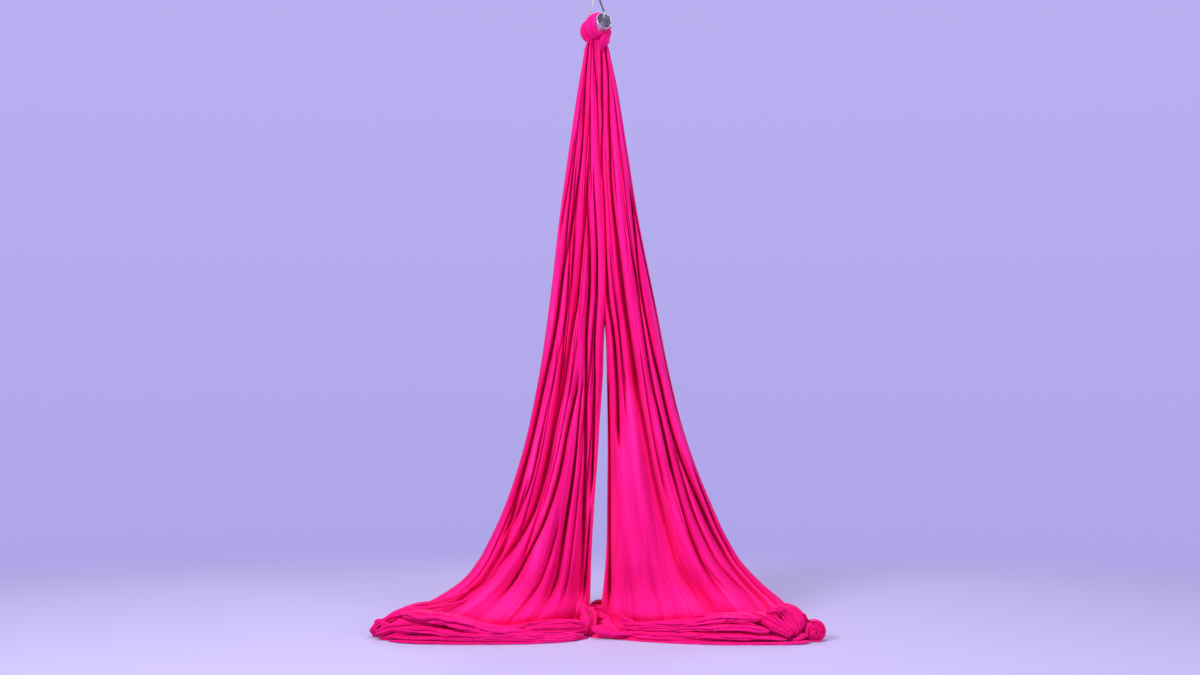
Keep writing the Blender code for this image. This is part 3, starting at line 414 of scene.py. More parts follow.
@dataclass(frozen=True)
class Tricot:
    """Nylon stretch tricot, warp knitted and dyed hot pink.

    Its shiny yarns run along the cloth, which gives soft long highlights on the folds and a fine
    lengthwise grain; light that bounces between the folds keeps the shade saturated.
    """

    name: str = "nylon_tricot"
    painted_sheen: str = "#FF2C96"
    body: str = "#F51A80"
    deep: str = "#DC0F68"
    sheen: str = "#FF50B0"
    roughness: float = 0.5
    specular: float = 0.09
    streaks: tuple[float, float, float] = (70, 3.2, 1)
    clouds: tuple[float, float, float] = (7, 1.6, 1)
    # Streaks of painted sheen along the yarn and broad soft random changes of tone, both counted per metre
    # across and along.
    """Streaks of lit yarn and broad soft changes of shade, both counted per metre across and along."""
    painted_sheen_share: float = 0.45
    wale_mm: float = 2.4
    """Real wales are under 1 mm apart and would not show, so they are drawn coarser."""
    wale_height: float = 0.6 * MM
    streak_height: float = 4 * MM

    def build(self) -> bpy.types.Material:
        """Builds the material, whose patterns follow the places on the flat cloth.

        Returns:
            The material.
        """
        material, tree, shader = new_finish(self.name)
        place = add(tree, "ShaderNodeUVMap", {"uv_map": CLOTH_MAP}).outputs["UV"]
        grain = add(tree, "ShaderNodeMapping", links={"Vector": place, "Scale": self.streaks})
        streak = add(
            tree, "ShaderNodeTexNoise", links={"Vector": grain.outputs["Vector"], "Scale": 1.0, "Detail": 4.0}
        )
        wide = add(tree, "ShaderNodeMapping", links={"Vector": place, "Scale": self.clouds})
        cloud = add(
            tree, "ShaderNodeTexNoise", links={"Vector": wide.outputs["Vector"], "Scale": 1.0, "Detail": 3.0}
        )
        mixed = add(
            tree, "ShaderNodeMath", {"operation": "MULTIPLY_ADD"},
            {0: streak.outputs["Fac"], 1: self.painted_sheen_share, 2: cloud.outputs["Fac"]},
        )
        # The lengthwise streaks lift the colour toward the top stop as a painted sheen; the broad clouds add
        # random tone.
        stops = [(0.5, linear(self.deep)), (0.72, linear(self.body)), (0.95, linear(self.painted_sheen))]
        colour = add(tree, "ShaderNodeValToRGB", links={"Fac": mixed.outputs[0]}, stops=stops)
        tree.links.new(colour.outputs["Color"], shader.inputs["Base Color"])
        shader.inputs["Roughness"].default_value = self.roughness
        shader.inputs["Specular IOR Level"].default_value = self.specular
        shader.inputs["Specular Tint"].default_value = linear(self.sheen)
        knit = add(tree, "ShaderNodeMapping", links={"Vector": place, "Scale": (1, 0.6, 1)})
        # The wave texture draws about 3.2 bands a metre at a scale of one.
        wales = add(
            tree, "ShaderNodeTexWave", {"bands_direction": "X"},
            {
                "Vector": knit.outputs["Vector"], "Scale": 0.314 / (self.wale_mm * MM), "Distortion": 1.5,
                "Detail": 2.0,
            },
        )
        fine = add(
            tree, "ShaderNodeBump",
            links={"Height": wales.outputs["Fac"], "Strength": 0.12, "Distance": self.wale_height},
        )
        creases = add(
            tree, "ShaderNodeBump",
            links={
                "Height": streak.outputs["Fac"], "Strength": 0.5, "Distance": self.streak_height,
                "Normal": fine.outputs["Normal"],
            },
        )
        tree.links.new(creases.outputs["Normal"], shader.inputs["Normal"])
        return material


@dataclass(frozen=True)
class Steel:
    """Steel as bought for rigging: zinc plated and worn bright, or blackened, or bare from a turning tool."""

    name: str
    body: str
    dull: str
    roughness: float
    grain_mm: float = 1.2
    stretch: tuple[float, float, float] = (1.0, 1.0, 1.0)
    bump: float = 0.04
    marks: float = 45.0
    """Handling marks per metre."""
    oiled_and_shaded: str = ""
    # The colour on the +X side of the middle and above the next height: partly oil on the rope, partly painted
    # shade for that leg's dim side.
    """The colour on the +X side of the middle and above oiled_and_shaded_from, where the rope is oiled dark."""
    oiled_and_shaded_from: float = -0.408

    def build(self) -> bpy.types.Material:
        """Builds the material, metallic all over with a grain in its roughness and faint handling marks.

        Returns:
            The material.
        """
        material, tree, shader = new_finish(self.name)
        shader.inputs["Metallic"].default_value = 1.0
        place = add(tree, "ShaderNodeTexCoord").outputs["Object"]
        stretched = add(tree, "ShaderNodeMapping", links={"Vector": place, "Scale": self.stretch})
        scale = 1 / (self.grain_mm * MM)
        grain = add(
            tree, "ShaderNodeTexNoise",
            links={"Vector": stretched.outputs["Vector"], "Scale": scale, "Detail": 4.0, "Roughness": 0.6},
        )
        marks = add(tree, "ShaderNodeTexNoise", links={"Vector": place, "Scale": self.marks, "Detail": 5.0})
        stops = [(0.35, linear(self.dull)), (0.62, linear(self.body))]
        colour = add(tree, "ShaderNodeValToRGB", links={"Fac": marks.outputs["Fac"]}, stops=stops)
        colour = colour.outputs["Color"]
        # The +X leg goes dark above that height: partly oil on the rope, partly painted shade of the leg that
        # the lights leave dim.
        if self.oiled_and_shaded:
            parts = add(tree, "ShaderNodeSeparateXYZ", links={"Vector": place})
            side = add(
                tree, "ShaderNodeMapRange",
                links={"Value": parts.outputs["X"], "From Min": -1 * MM, "From Max": 3 * MM},
            )
            above = add(
                tree, "ShaderNodeMapRange",
                links={
                    "Value": parts.outputs["Z"], "From Min": self.oiled_and_shaded_from,
                    "From Max": self.oiled_and_shaded_from + 6 * MM, "To Max": side.outputs["Result"],
                },
            )
            colour = add(
                tree, "ShaderNodeMix", {"data_type": "RGBA"},
                {"Factor": above.outputs["Result"], 6: colour, 7: linear(self.oiled_and_shaded)},
            ).outputs[2]
        tree.links.new(colour, shader.inputs["Base Color"])
        rough = add(
            tree, "ShaderNodeMapRange",
            links={
                "Value": grain.outputs["Fac"], "From Min": 0.3, "From Max": 0.7,
                "To Min": self.roughness * 0.8, "To Max": self.roughness * 1.3,
            },
        )
        tree.links.new(rough.outputs["Result"], shader.inputs["Roughness"])
        bump = add(
            tree, "ShaderNodeBump",
            links={"Height": grain.outputs["Fac"], "Strength": self.bump, "Distance": 0.2 * MM},
        )
        tree.links.new(bump.outputs["Normal"], shader.inputs["Normal"])
        return material


@dataclass(frozen=True)
class PowderCoat:
    """White polyester powder coat: even, satin, with a faint orange peel from its baking."""

    name: str = "powder_coat"
    body: str = "#D8D8D4"
    shade: str = "#C6C6C2"
    roughness: float = 0.42
    dust: float = 25.0
    """Faint clouds of dust per metre."""
    peel_mm: float = 2.0

    def build(self) -> bpy.types.Material:
        """Builds the material.

        Returns:
            The material.
        """
        material, tree, shader = new_finish(self.name)
        place = add(tree, "ShaderNodeTexCoord").outputs["Object"]
        dust = add(tree, "ShaderNodeTexNoise", links={"Vector": place, "Scale": self.dust, "Detail": 4.0})
        stops = [(0.35, linear(self.shade)), (0.6, linear(self.body))]
        colour = add(tree, "ShaderNodeValToRGB", links={"Fac": dust.outputs["Fac"]}, stops=stops)
        tree.links.new(colour.outputs["Color"], shader.inputs["Base Color"])
        shader.inputs["Roughness"].default_value = self.roughness
        peel = add(tree, "ShaderNodeTexNoise", links={"Vector": place, "Scale": 1 / (self.peel_mm * MM)})
        bump = add(
            tree, "ShaderNodeBump",
            links={"Height": peel.outputs["Fac"], "Strength": 0.15, "Distance": 0.15 * MM},
        )
        tree.links.new(bump.outputs["Normal"], shader.inputs["Normal"])
        return material


@dataclass(frozen=True)
class Paper:
    """Lilac studio floor paper, matt and even, which fades out where the lit air behind it takes over."""

    name: str = "studio_paper"
    shade: str = "#C4BCE8"
    roughness: float = 0.9
    specular: float = 0.1
    reach: tuple[float, float] = (6.5, 2.7)
    fade_from: float = 0.44
    """The floor is gone at reach, in X and Y from its middle, and starts to fade at this share of it."""

    def build(self) -> bpy.types.Material:
        """Builds the material.

        Returns:
            The material.
        """
        material, tree, shader = new_finish(self.name)
        shader.inputs["Base Color"].default_value = linear(self.shade)
        shader.inputs["Roughness"].default_value = self.roughness
        shader.inputs["Specular IOR Level"].default_value = self.specular
        place = add(tree, "ShaderNodeTexCoord").outputs["Object"]
        shares = add(
            tree, "ShaderNodeVectorMath", {"operation": "MULTIPLY"},
            {0: place, 1: (1 / self.reach[0], 1 / self.reach[1], 0)},
        )
        far = add(tree, "ShaderNodeVectorMath", {"operation": "LENGTH"}, {0: shares.outputs["Vector"]})
        fade = add(
            tree, "ShaderNodeMapRange", {"interpolation_type": "SMOOTHSTEP"},
            {
                "Value": far.outputs["Value"], "From Min": self.fade_from, "From Max": 1.0, "To Min": 1.0,
                "To Max": 0.0,
            },
        )
        tree.links.new(fade.outputs["Result"], shader.inputs["Alpha"])
        return material


@dataclass(frozen=True)
class Air:
    """Evenly lit lilac air round the floor: full near the horizon and below, dimmer overhead."""

    low: str = "#AFA6E9"
    level: str = "#BAB1F1"
    zenith: str = "#85828E"

    def build(self) -> bpy.types.World:
        """Builds the world.

        Returns:
            The world.
        """
        world = bpy.data.worlds.new("studio_air")
        world.use_nodes = True
        tree = world.node_tree
        way = add(tree, "ShaderNodeTexCoord").outputs["Generated"]
        parts = add(tree, "ShaderNodeSeparateXYZ", links={"Vector": way})
        height = add(
            tree, "ShaderNodeMapRange", links={"Value": parts.outputs["Z"], "From Min": -1.0, "From Max": 1.0}
        )
        stops = [(0.43, linear(self.low)), (0.62, linear(self.level)), (0.80, linear(self.zenith))]
        colour = add(tree, "ShaderNodeValToRGB", links={"Fac": height.outputs["Result"]}, stops=stops)
        tree.links.new(colour.outputs["Color"], tree.nodes["Background"].inputs["Color"])
        return world


@dataclass(frozen=True)
class Crease:
    """A valley between two folds.

    path holds (share of the drop, share across the tail) pairs, from the slit at 0 to the outer edge
    at 1. depth is a share of the tail's half depth there, and the two widths are shares of its width, which
    widen multiplies. It fades in over lead and out over tail_out, both shares of the drop.
    """

    path: Table
    depth: float = 0.3
    toward_slit: float = 0.03
    toward_edge: float = 0.03
    lead: float = 0.05
    tail_out: float = 0.05
    widen: float = 1.25
    slot: float = 0.5
    slot_share: float = 0.22
    slot_least: float = 0.003
    """A slot along the valley's middle: its depth and width as shares of the valley's, and its least width."""

    def carve(self, drop: Array, across: Array) -> Array:
        """How deep it cuts at each point.

        Args:
            drop: shares of the drop.
            across: shares across the tail.

        Returns:
            Depths as shares of the tail's half depth.
        """
        first = self.path[0][0]
        last = self.path[-1][0]
        off = across - curve_at(self.path, drop)
        width = np.where(off < 0, self.toward_slit, self.toward_edge) * self.widen
        there = ease(first - self.lead, first + self.lead * 0.3, drop)
        there = there * (1 - ease(last - self.tail_out * 0.3, last + self.tail_out, drop))
        far = np.abs(off)
        valley = np.exp(-((far / width) ** 1.15))
        slot = np.exp(-((far / (self.slot_share * width + self.slot_least)) ** 1.6))
        return self.depth * there * (valley + self.slot * slot)


# The creases that the photograph shows on each tail, from the main ones to the faint ones.
LEFT_CREASES = (
    Crease(((0.183, 0.852), (0.210, 0.862), (0.257, 0.892), (0.315, 0.930)), 0.30, 0.035, 0.035),
    Crease(
        ((0.0, 0.72), (0.037, 0.711), (0.099, 0.641), (0.178, 0.610), (0.216, 0.625), (0.275, 0.674),
         (0.340, 0.741), (0.400, 0.806), (0.495, 0.836), (0.580, 0.892), (0.664, 0.914), (0.748, 0.915),
         (0.815, 0.880)),
        0.55, 0.050, 0.035,
    ),
    Crease(
        ((0.241, 0.405), (0.326, 0.443), (0.385, 0.473), (0.445, 0.495), (0.495, 0.533), (0.579, 0.582),
         (0.663, 0.631), (0.747, 0.640), (0.808, 0.664), (0.858, 0.731), (0.880, 0.769), (0.917, 0.799),
         (0.934, 0.832)),
        0.60, 0.028, 0.085,
    ),
    Crease(
        ((0.285, 0.387), (0.323, 0.347), (0.396, 0.315), (0.495, 0.302), (0.579, 0.255), (0.664, 0.192),
         (0.748, 0.146), (0.801, 0.120), (0.855, 0.095), (0.930, 0.078)),
        0.55, 0.035, 0.028,
    ),
    Crease(
        ((0.248, 0.252), (0.322, 0.203), (0.385, 0.182), (0.444, 0.170), (0.495, 0.163), (0.580, 0.129),
         (0.664, 0.089), (0.749, 0.057)),
        0.38, 0.022, 0.022,
    ),
    Crease(
        ((0.600, 0.374), (0.663, 0.421), (0.747, 0.450), (0.788, 0.482), (0.826, 0.518), (0.884, 0.586),
         (0.916, 0.602)),
        0.42, 0.022, 0.050,
    ),
    Crease(
        ((0.600, 0.301), (0.663, 0.289), (0.747, 0.276), (0.800, 0.280), (0.862, 0.275), (0.938, 0.267)),
        0.36, 0.020, 0.040,
    ),
    Crease(
        ((0.705, 0.790), (0.747, 0.790), (0.801, 0.823), (0.828, 0.843), (0.872, 0.853), (0.901, 0.862)),
        0.24, 0.024, 0.024,
    ),
    Crease(((0.0, 0.34), (0.030, 0.271), (0.073, 0.161), (0.107, 0.098), (0.141, 0.070), (0.188, 0.045)),
           0.50, 0.05, 0.05),
    Crease(((0.130, 0.392), (0.216, 0.338), (0.248, 0.310)), 0.28, 0.03, 0.03),
    Crease(((0.0, 0.47), (0.06, 0.45), (0.12, 0.42), (0.19, 0.46)), 0.26, 0.04, 0.04),
    Crease(((0.829, 0.040), (0.865, 0.040), (0.932, 0.045)), 0.30, 0.016, 0.016),
    Crease(((0.36, 0.64), (0.45, 0.66), (0.54, 0.73), (0.62, 0.78), (0.69, 0.80)), 0.20, 0.03, 0.03),
    Crease(((0.52, 0.44), (0.60, 0.49), (0.68, 0.53), (0.78, 0.57)), 0.16, 0.02, 0.02),
    Crease(((0.66, 0.215), (0.74, 0.205), (0.84, 0.190), (0.93, 0.185)), 0.18, 0.018, 0.018),
    Crease(((0.84, 0.36), (0.90, 0.385), (0.95, 0.40)), 0.20, 0.022, 0.022),
)

RIGHT_CREASES = (
    Crease(((0.0, 0.44), (0.027, 0.400), (0.063, 0.266), (0.096, 0.195)), 0.60, 0.05, 0.05),
    Crease(
        ((0.052, 0.293), (0.121, 0.223), (0.189, 0.136), (0.240, 0.128), (0.275, 0.152), (0.326, 0.139),
         (0.385, 0.114), (0.444, 0.107), (0.495, 0.138), (0.580, 0.158), (0.664, 0.144)),
        0.50, 0.030, 0.045,
    ),
    Crease(
        ((0.0, 0.74), (0.055, 0.668), (0.091, 0.560), (0.142, 0.472), (0.187, 0.438), (0.216, 0.402),
         (0.267, 0.394), (0.326, 0.420), (0.385, 0.437), (0.445, 0.434), (0.495, 0.431), (0.579, 0.455)),
        0.62, 0.070, 0.028,
    ),
    Crease(((0.60, 0.462), (0.663, 0.492), (0.747, 0.500), (0.826, 0.517), (0.894, 0.524), (0.955, 0.560)),
           0.55, 0.080, 0.060, 0.16),
    Crease(((0.380, 0.691), (0.411, 0.699), (0.470, 0.680), (0.579, 0.681), (0.663, 0.714), (0.730, 0.698)),
           0.32, 0.024, 0.024),
    Crease(
        ((0.283, 0.889), (0.326, 0.848), (0.385, 0.787), (0.495, 0.769), (0.580, 0.815), (0.664, 0.832),
         (0.748, 0.863), (0.796, 0.876), (0.833, 0.886), (0.877, 0.900), (0.913, 0.895), (0.950, 0.887)),
        0.50, 0.032, 0.026,
    ),
    Crease(((0.705, 0.804), (0.747, 0.793), (0.800, 0.782), (0.837, 0.792), (0.885, 0.807), (0.934, 0.833)),
           0.30, 0.030, 0.030),
    Crease(((0.600, 0.020), (0.682, 0.022), (0.750, 0.022), (0.858, 0.022), (0.938, 0.034)),
           0.60, 0.012, 0.018),
    Crease(((0.750, 0.955), (0.817, 0.950), (0.869, 0.955), (0.945, 0.943)), 0.22, 0.018, 0.018),
    Crease(((0.12, 0.78), (0.22, 0.70), (0.30, 0.66), (0.36, 0.60)), 0.12, 0.05, 0.05),
    Crease(((0.20, 0.26), (0.30, 0.27), (0.42, 0.27), (0.50, 0.29)), 0.14, 0.03, 0.03),
    Crease(((0.72, 0.66), (0.80, 0.66), (0.88, 0.69), (0.93, 0.73)), 0.14, 0.04, 0.04),
)


@dataclass
class Tail:
    """One hanging tail: a single cloth that folds round from the slit, past its outer edge and back.

    A drop is a share of the way from the neck to the floor, and across runs from the slit at 0 to the outer
    edge at 1. Tables of (drop, value) give the slit, the outer edge and the half depth.
    """

    side: Side
    outer: Table
    creases: tuple[Crease, ...]
    seed: int
    depth: float = 0.16
    lean: float = 0.04
    """The half depth at the floor, and how far the tail's middle leans forward there."""
    top_z: float = NECK_Z + 0.009
    low_z: float = FLOOR_Z + 0.022
    flare: float = 0.09
    toe: float = 0.11
    """How far the front, and then the outer corner, swing forward where they reach the floor."""
    fold_gain: float = 1.35
    calm_below: float = 0.3
    """What every crease's depth is multiplied by, and the share of it that is lost near the floor."""
    small: int = 30
    bare: tuple[float, float, float] = (2.0, 0.0, 0.0)
    """How many small creases are drawn, and the drop past which, between two shares across, none is kept."""
    lap: float = 4 * MM
    """How far the two tails lap over each other above the slit."""
    swag: Table = ()
    swag_depth: float = 26 * MM
    """Where the cloth sags onto its heap, as (across, drop), and how deep that line is."""
    fuller: float = 0.22
    fuller_back: float = 0.13
    """How much the folds stand out past the half depth, in front and behind."""
    wander: float = 0.018
    sway: float = 0.006
    """How far creases stray across, and folds sideways, as shares of the width."""
    gathers: int = 26
    back_lines: tuple[int, int] = (11, 5)
    """Fine pleats in the whole width, and the back's narrow and broad folds."""
    front_share: float = 0.56
    columns: int = 400
    rows: int = 230
    slit_middle: Table = (
        (0.000, 0.008), (0.250, 0.028), (0.488, 0.044), (0.575, 0.044), (0.645, 0.039),
        (0.713, 0.034), (0.765, 0.028), (0.885, 0.016), (0.972, 0.002),
    )
    slit_open: Table = (
        (0.000, 0.000), (0.485, 0.000), (0.506, 0.0036), (0.575, 0.0085), (0.645, 0.016), (0.713, 0.022),
        (0.765, 0.026), (0.885, 0.032), (0.972, 0.024),
    )
    half_depth: Table = (
        (0.000, 0.21), (0.110, 0.36), (0.350, 0.56), (0.575, 0.72), (0.765, 0.88), (0.885, 0.97), (0.972, 1.00),
    )

    def span(self, drop: Array) -> tuple[Array, Array]:
        """The slit edge and the outer edge, in X.

        Args:
            drop: shares of the drop.

        Returns:
            The two edges.
        """
        sign = self.side.value
        opening = curve_at(self.slit_open, drop) - self.lap * (1 - ease(0.43, 0.495, drop))
        return curve_at(self.slit_middle, drop) + sign * opening, sign * curve_at(self.outer, drop)

    def surface(self) -> tuple[Array, Array]:
        """The cloth's points and where each lies on the flat cloth.

        Returns:
            Points, rows by columns by three, and places by two.
        """
        # Rows close up toward the floor, and columns toward the slit and the outer edge.
        row = np.linspace(0, 1, self.rows)[:, None]
        z = self.top_z + (self.low_z - self.top_z) * (0.5 * row + 0.5 * (1 - (1 - row) ** 2))
        turn = np.linspace(0, 1, self.columns)[None, :]
        front = turn < self.front_share
        s = np.where(front, turn / self.front_share, (1 - turn) / (1 - self.front_share))
        across = 0.45 * (1 - np.cos(math.pi * s)) / 2 + 0.55 * s
        across, drop = np.broadcast_arrays(across, np.clip((NECK_Z - z) / (NECK_Z - FLOOR_Z), 0, 1))
        inner, outer = self.span(drop)
        width = np.abs(outer - inner)
        noise = Noise(self.seed)
        fade = taper(across, 0.06)
        flow = across + self.wander * noise.rough(across * 3, drop * 2.5) * fade
        half = curve_at(self.half_depth, drop) * self.depth
        cut = np.where(front, self.front_folds(drop, flow), self.back_folds(drop, across, noise))
        shift = cut * half + self.pleats(drop, flow, noise, width) * fade
        arch = (1 - np.abs(2 * across - 1) ** 3.2) ** 0.6 * 0.95
        fuller = np.where(front, self.fuller, self.fuller_back)
        fuller = fuller * ease(0.12, 0.45, drop) * (1 - ease(0.88, 0.95, drop))
        y = -self.lean * drop**3 + np.where(front, -1.0, 1.0) * (half * arch * (1 + fuller) - shift)
        y = y - self.toe * ease(0.86, 1.0, drop) * across**4
        y = y - np.where(front, self.flare * ease(0.90, 1.0, drop) ** 1.5 * arch, 0.0)
        y = y + np.where(front, self.swag_cut(drop, across), 0.0)
        x = inner + (outer - inner) * across
        x = x + np.where(front, 1.0, 0.0) * self.bulge(drop, flow, width) * fade
        return self.meet_tube(side_by_side(x, y, z)), side_by_side(turn * CLOTH_WIDTH, z)

    def meet_tube(self, points: Array, over: float = 0.08) -> Array:
        """Tilts the cloth's top so that it comes off the sloping tube.

        Args:
            points: the cloth's points.
            over: how far down the tilt dies out.

        Returns:
            The same points, moved.
        """
        rise = np.maximum(0, 1 - (NECK_Z - points[..., 2]) / over) * math.tan(TUBE_TILT)
        ahead = math.cos(RIG_TURN) * points[..., 0] + math.sin(RIG_TURN) * points[..., 1]
        points[..., 2] += rise * ahead
        return points

    def front_folds(self, drop: Array, across: Array) -> Array:
        """The creases in front, placed as the photograph shows them, with small ones between.

        Args:
            drop: shares of the drop.
            across: shares across.

        Returns:
            Depths as shares of the half depth.
        """
        cut = np.zeros_like(across)
        for crease in (*self.creases, *self.small_creases()):
            cut = cut + crease.carve(drop, across)
        cut = cut * np.minimum(1, 0.12 + np.minimum(across, 1 - across) / 0.05) * self.fold_gain
        # Past a share of 0.85 a valley deepens at a third of the rate, so that crossing ones stay shallow.
        cut = np.minimum(cut, 0.35 * cut + 0.55)
        return cut * (1 - self.calm_below * ease(0.78, 0.92, drop))

    def small_creases(self) -> list[Crease]:
        """Short thin creases between the long ones, where the gathers pull the cloth.

        Returns:
            The creases, fixed by the tail's seed.
        """
        rng = np.random.default_rng(self.seed + 100)
        made = []
        for _ in range(self.small):
            first = rng.uniform(0.0, 0.78)
            last = min(first + rng.uniform(0.10, 0.36), 0.92)
            place = rng.uniform(0.05, 0.95)
            end = float(np.clip(place + rng.uniform(-0.05, 0.07) * (last - first) / 0.3, 0.03, 0.97))
            width = rng.uniform(0.007, 0.014)
            depth = rng.uniform(0.10, 0.26)
            from_drop, near, away = self.bare
            if (first + last) / 2 < from_drop or not near < (place + end) / 2 < away:
                middle = ((first + last) / 2, (place + end) / 2 + rng.uniform(-0.01, 0.01))
                path = ((first, place), middle, (last, end))
                made.append(Crease(path, depth, width, width * rng.uniform(0.8, 2.2)))
        return made

    def swag_cut(self, drop: Array, across: Array) -> Array:
        """The line where the cloth sags onto its own heap: a belly above it and a valley along it.

        Args:
            drop: shares of the drop.
            across: shares across.

        Returns:
            Moves in Y, in metres.
        """
        if not self.swag:
            return np.zeros_like(across)
        off = drop - curve_at(self.swag, across)
        there = ease(0.0, 0.06, across) * (1 - ease(self.swag[-1][0] - 0.06, self.swag[-1][0] + 0.02, across))
        valley = np.exp(-((np.abs(off) / 0.0065) ** 1.5))
        belly = np.exp(-(((off + 0.020) / 0.014) ** 2))
        return there * self.swag_depth * (valley - 0.55 * belly)

    def bulge(self, drop: Array, across: Array, width: Array) -> Array:
        """Small sideways sway of the folds, so that no fold runs ruler straight.

        Args:
            drop: shares of the drop.
            across: shares across.
            width: the tail's width.

        Returns:
            Moves in X, in metres.
        """
        wave = Noise(self.seed + 7).rough(across * 9, drop * 7, 2)
        return self.sway * wave * width * ease(0.05, 0.4, drop)

    def pleats(self, drop: Array, across: Array, noise: Noise, width: Array) -> Array:
        """Fine gathers that run with the folds and die out where the cloth spreads.

        Args:
            drop: shares of the drop.
            across: shares across.
            noise: the tail's noise.
            width: the tail's width.

        Returns:
            Depths in metres.
        """
        wander = 1.6 * noise.rough(across * 5 + 3, drop * 3 + 9)
        comb = np.abs(np.sin(math.pi * (self.gathers * across + wander)))
        strength = 0.5 + 0.5 * noise.rough(across * 14, drop * 4 + 30)
        calm = 1 - 0.55 * ease(0.1, 0.75, drop)
        height = np.minimum(0.0065, width * 0.018)
        finer = 0.0011 * noise.rough(across * 46, drop * 9 + 50) * (1 - 0.4 * ease(0.3, 0.9, drop))
        sway = np.minimum(0.008, width * 0.02) * noise.rough(across * 8 + 60, drop * 2.2 + 2, 2)
        return (1 - comb**0.7) * height * calm * np.clip(strength, 0.1, 1) + finer + sway

    def back_folds(self, drop: Array, across: Array, noise: Noise) -> Array:
        """The folds on the back, which the photograph doesn't show: even gathers that merge on the way down.

        Args:
            drop: shares of the drop.
            across: shares across.
            noise: the tail's noise.

        Returns:
            Depths as shares of the half depth.
        """
        wander = 1.5 * noise.rough(across * 2.4 + 21, drop * 1.8 + 4)
        strength = np.clip(0.62 + 0.75 * noise.rough(across * 7 + 70, drop * 1.6 + 8, 2), 0.12, 1.15)
        narrow = ridge(math.pi * (self.back_lines[0] * across + wander))
        broad = ridge(math.pi * (self.back_lines[1] * across + 0.6 * wander + 0.3))
        mix = ease(0.25, 0.85, drop)
        cut = 0.75 * strength * narrow**1.3 * (1 - 0.35 * mix) + 0.6 * broad**1.8 * (0.35 + 0.65 * mix)
        return cut * taper(across, 0.08)

    def build(self, cloth: bpy.types.Material) -> bpy.types.Object:
        """Makes the tail.

        Args:
            cloth: the tricot.

        Returns:
            The tail.
        """
        word = self.side.name.lower()
        points, flat = self.surface()
        mesh = grid_mesh(f"{word}_silk_tail", points, uv=flat)
        tail = piece(f"{word}_silk_tail", mesh, cloth)
        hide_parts(f"{word}_tail")
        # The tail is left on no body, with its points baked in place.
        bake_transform(tail)
        return tail


@dataclass(frozen=True)
class Fold:
    """One long soft fold of cloth that lies in a heap.

    path holds (column, row, y, half height in mm) for points along its middle, with the first two in the
    photograph's pixels.
    """

    path: tuple[tuple[float, float, float, float], ...]
    seed: int
    deep: float = 2.0
    lines: float = 2.0
    rough: float = 0.16
    """Its depth as a share of its height, the pleats along it in half turns, and how dented it is."""
    around: int = 30
    row_step: float = 4.6 * MM
    least_rows: int = 34
    clear: float = 0.8 * MM
    """How far it stays above the floor."""

    def mesh(self) -> bpy.types.Mesh:
        """Sweeps its lens-shaped section along the path, with lengthwise pleats and soft dents.

        Returns:
            The fold's mesh.
        """
        noise = Noise(self.seed)
        last = len(self.path) - 1
        ends = np.array([seen(column, row, y) for column, row, y, _ in self.path])
        reach = np.linalg.norm(np.diff(ends, axis=0), axis=1).sum()
        at = np.linspace(0, last, max(self.least_rows, int(reach / self.row_step)))
        centre = path_at(ends, at)
        half = curve_at([(i, point[3] * MM) for i, point in enumerate(self.path)], at)
        half = half * taper(at / last, 0.10) ** 0.5
        length = np.concatenate([[0], np.cumsum(np.linalg.norm(np.diff(centre, axis=0), axis=1))])
        centre[:, 2] += 0.16 * half * noise.rough(length * 16, 3)
        centre[:, 1] += 0.35 * half * noise.rough(length * 12, 9)
        along = unit(np.gradient(centre, axis=0))
        up = unit(np.array((0.0, 0.0, 1.0)) - along * along[:, 2:3] + 1e-6)
        across = np.cross(along, up)
        # The section's points crowd on its upper side, in front where the fold runs toward +X.
        turn = once_round(self.around)[None, :]
        turn = turn - 0.42 * np.sin(turn - math.radians(55))
        c = np.cos(turn)
        s = np.sin(turn)
        place = length[:, None]
        dents = noise.rough(1.4 * c + 13 * place, 1.4 * s + 7 * place + 20)
        comb = ridge(self.lines * turn + noise.rough(7 * place, 1.2 * c + 40) * 3)
        swell = 1 + self.rough * 1.9 * dents - self.rough * 2.7 * comb**2.2
        high = half[:, None] * np.sign(s) * np.abs(s) ** 0.85 * swell
        wide = half[:, None] * self.deep * c * swell
        points = centre[:, None, :] + up[:, None, :] * high[..., None] + across[:, None, :] * wide[..., None]
        points[..., 2] = np.maximum(points[..., 2], FLOOR_Z + self.clear)
        return grid_mesh("fold", points, round_v=True, uv=side_by_side(turn * 0.016, place))


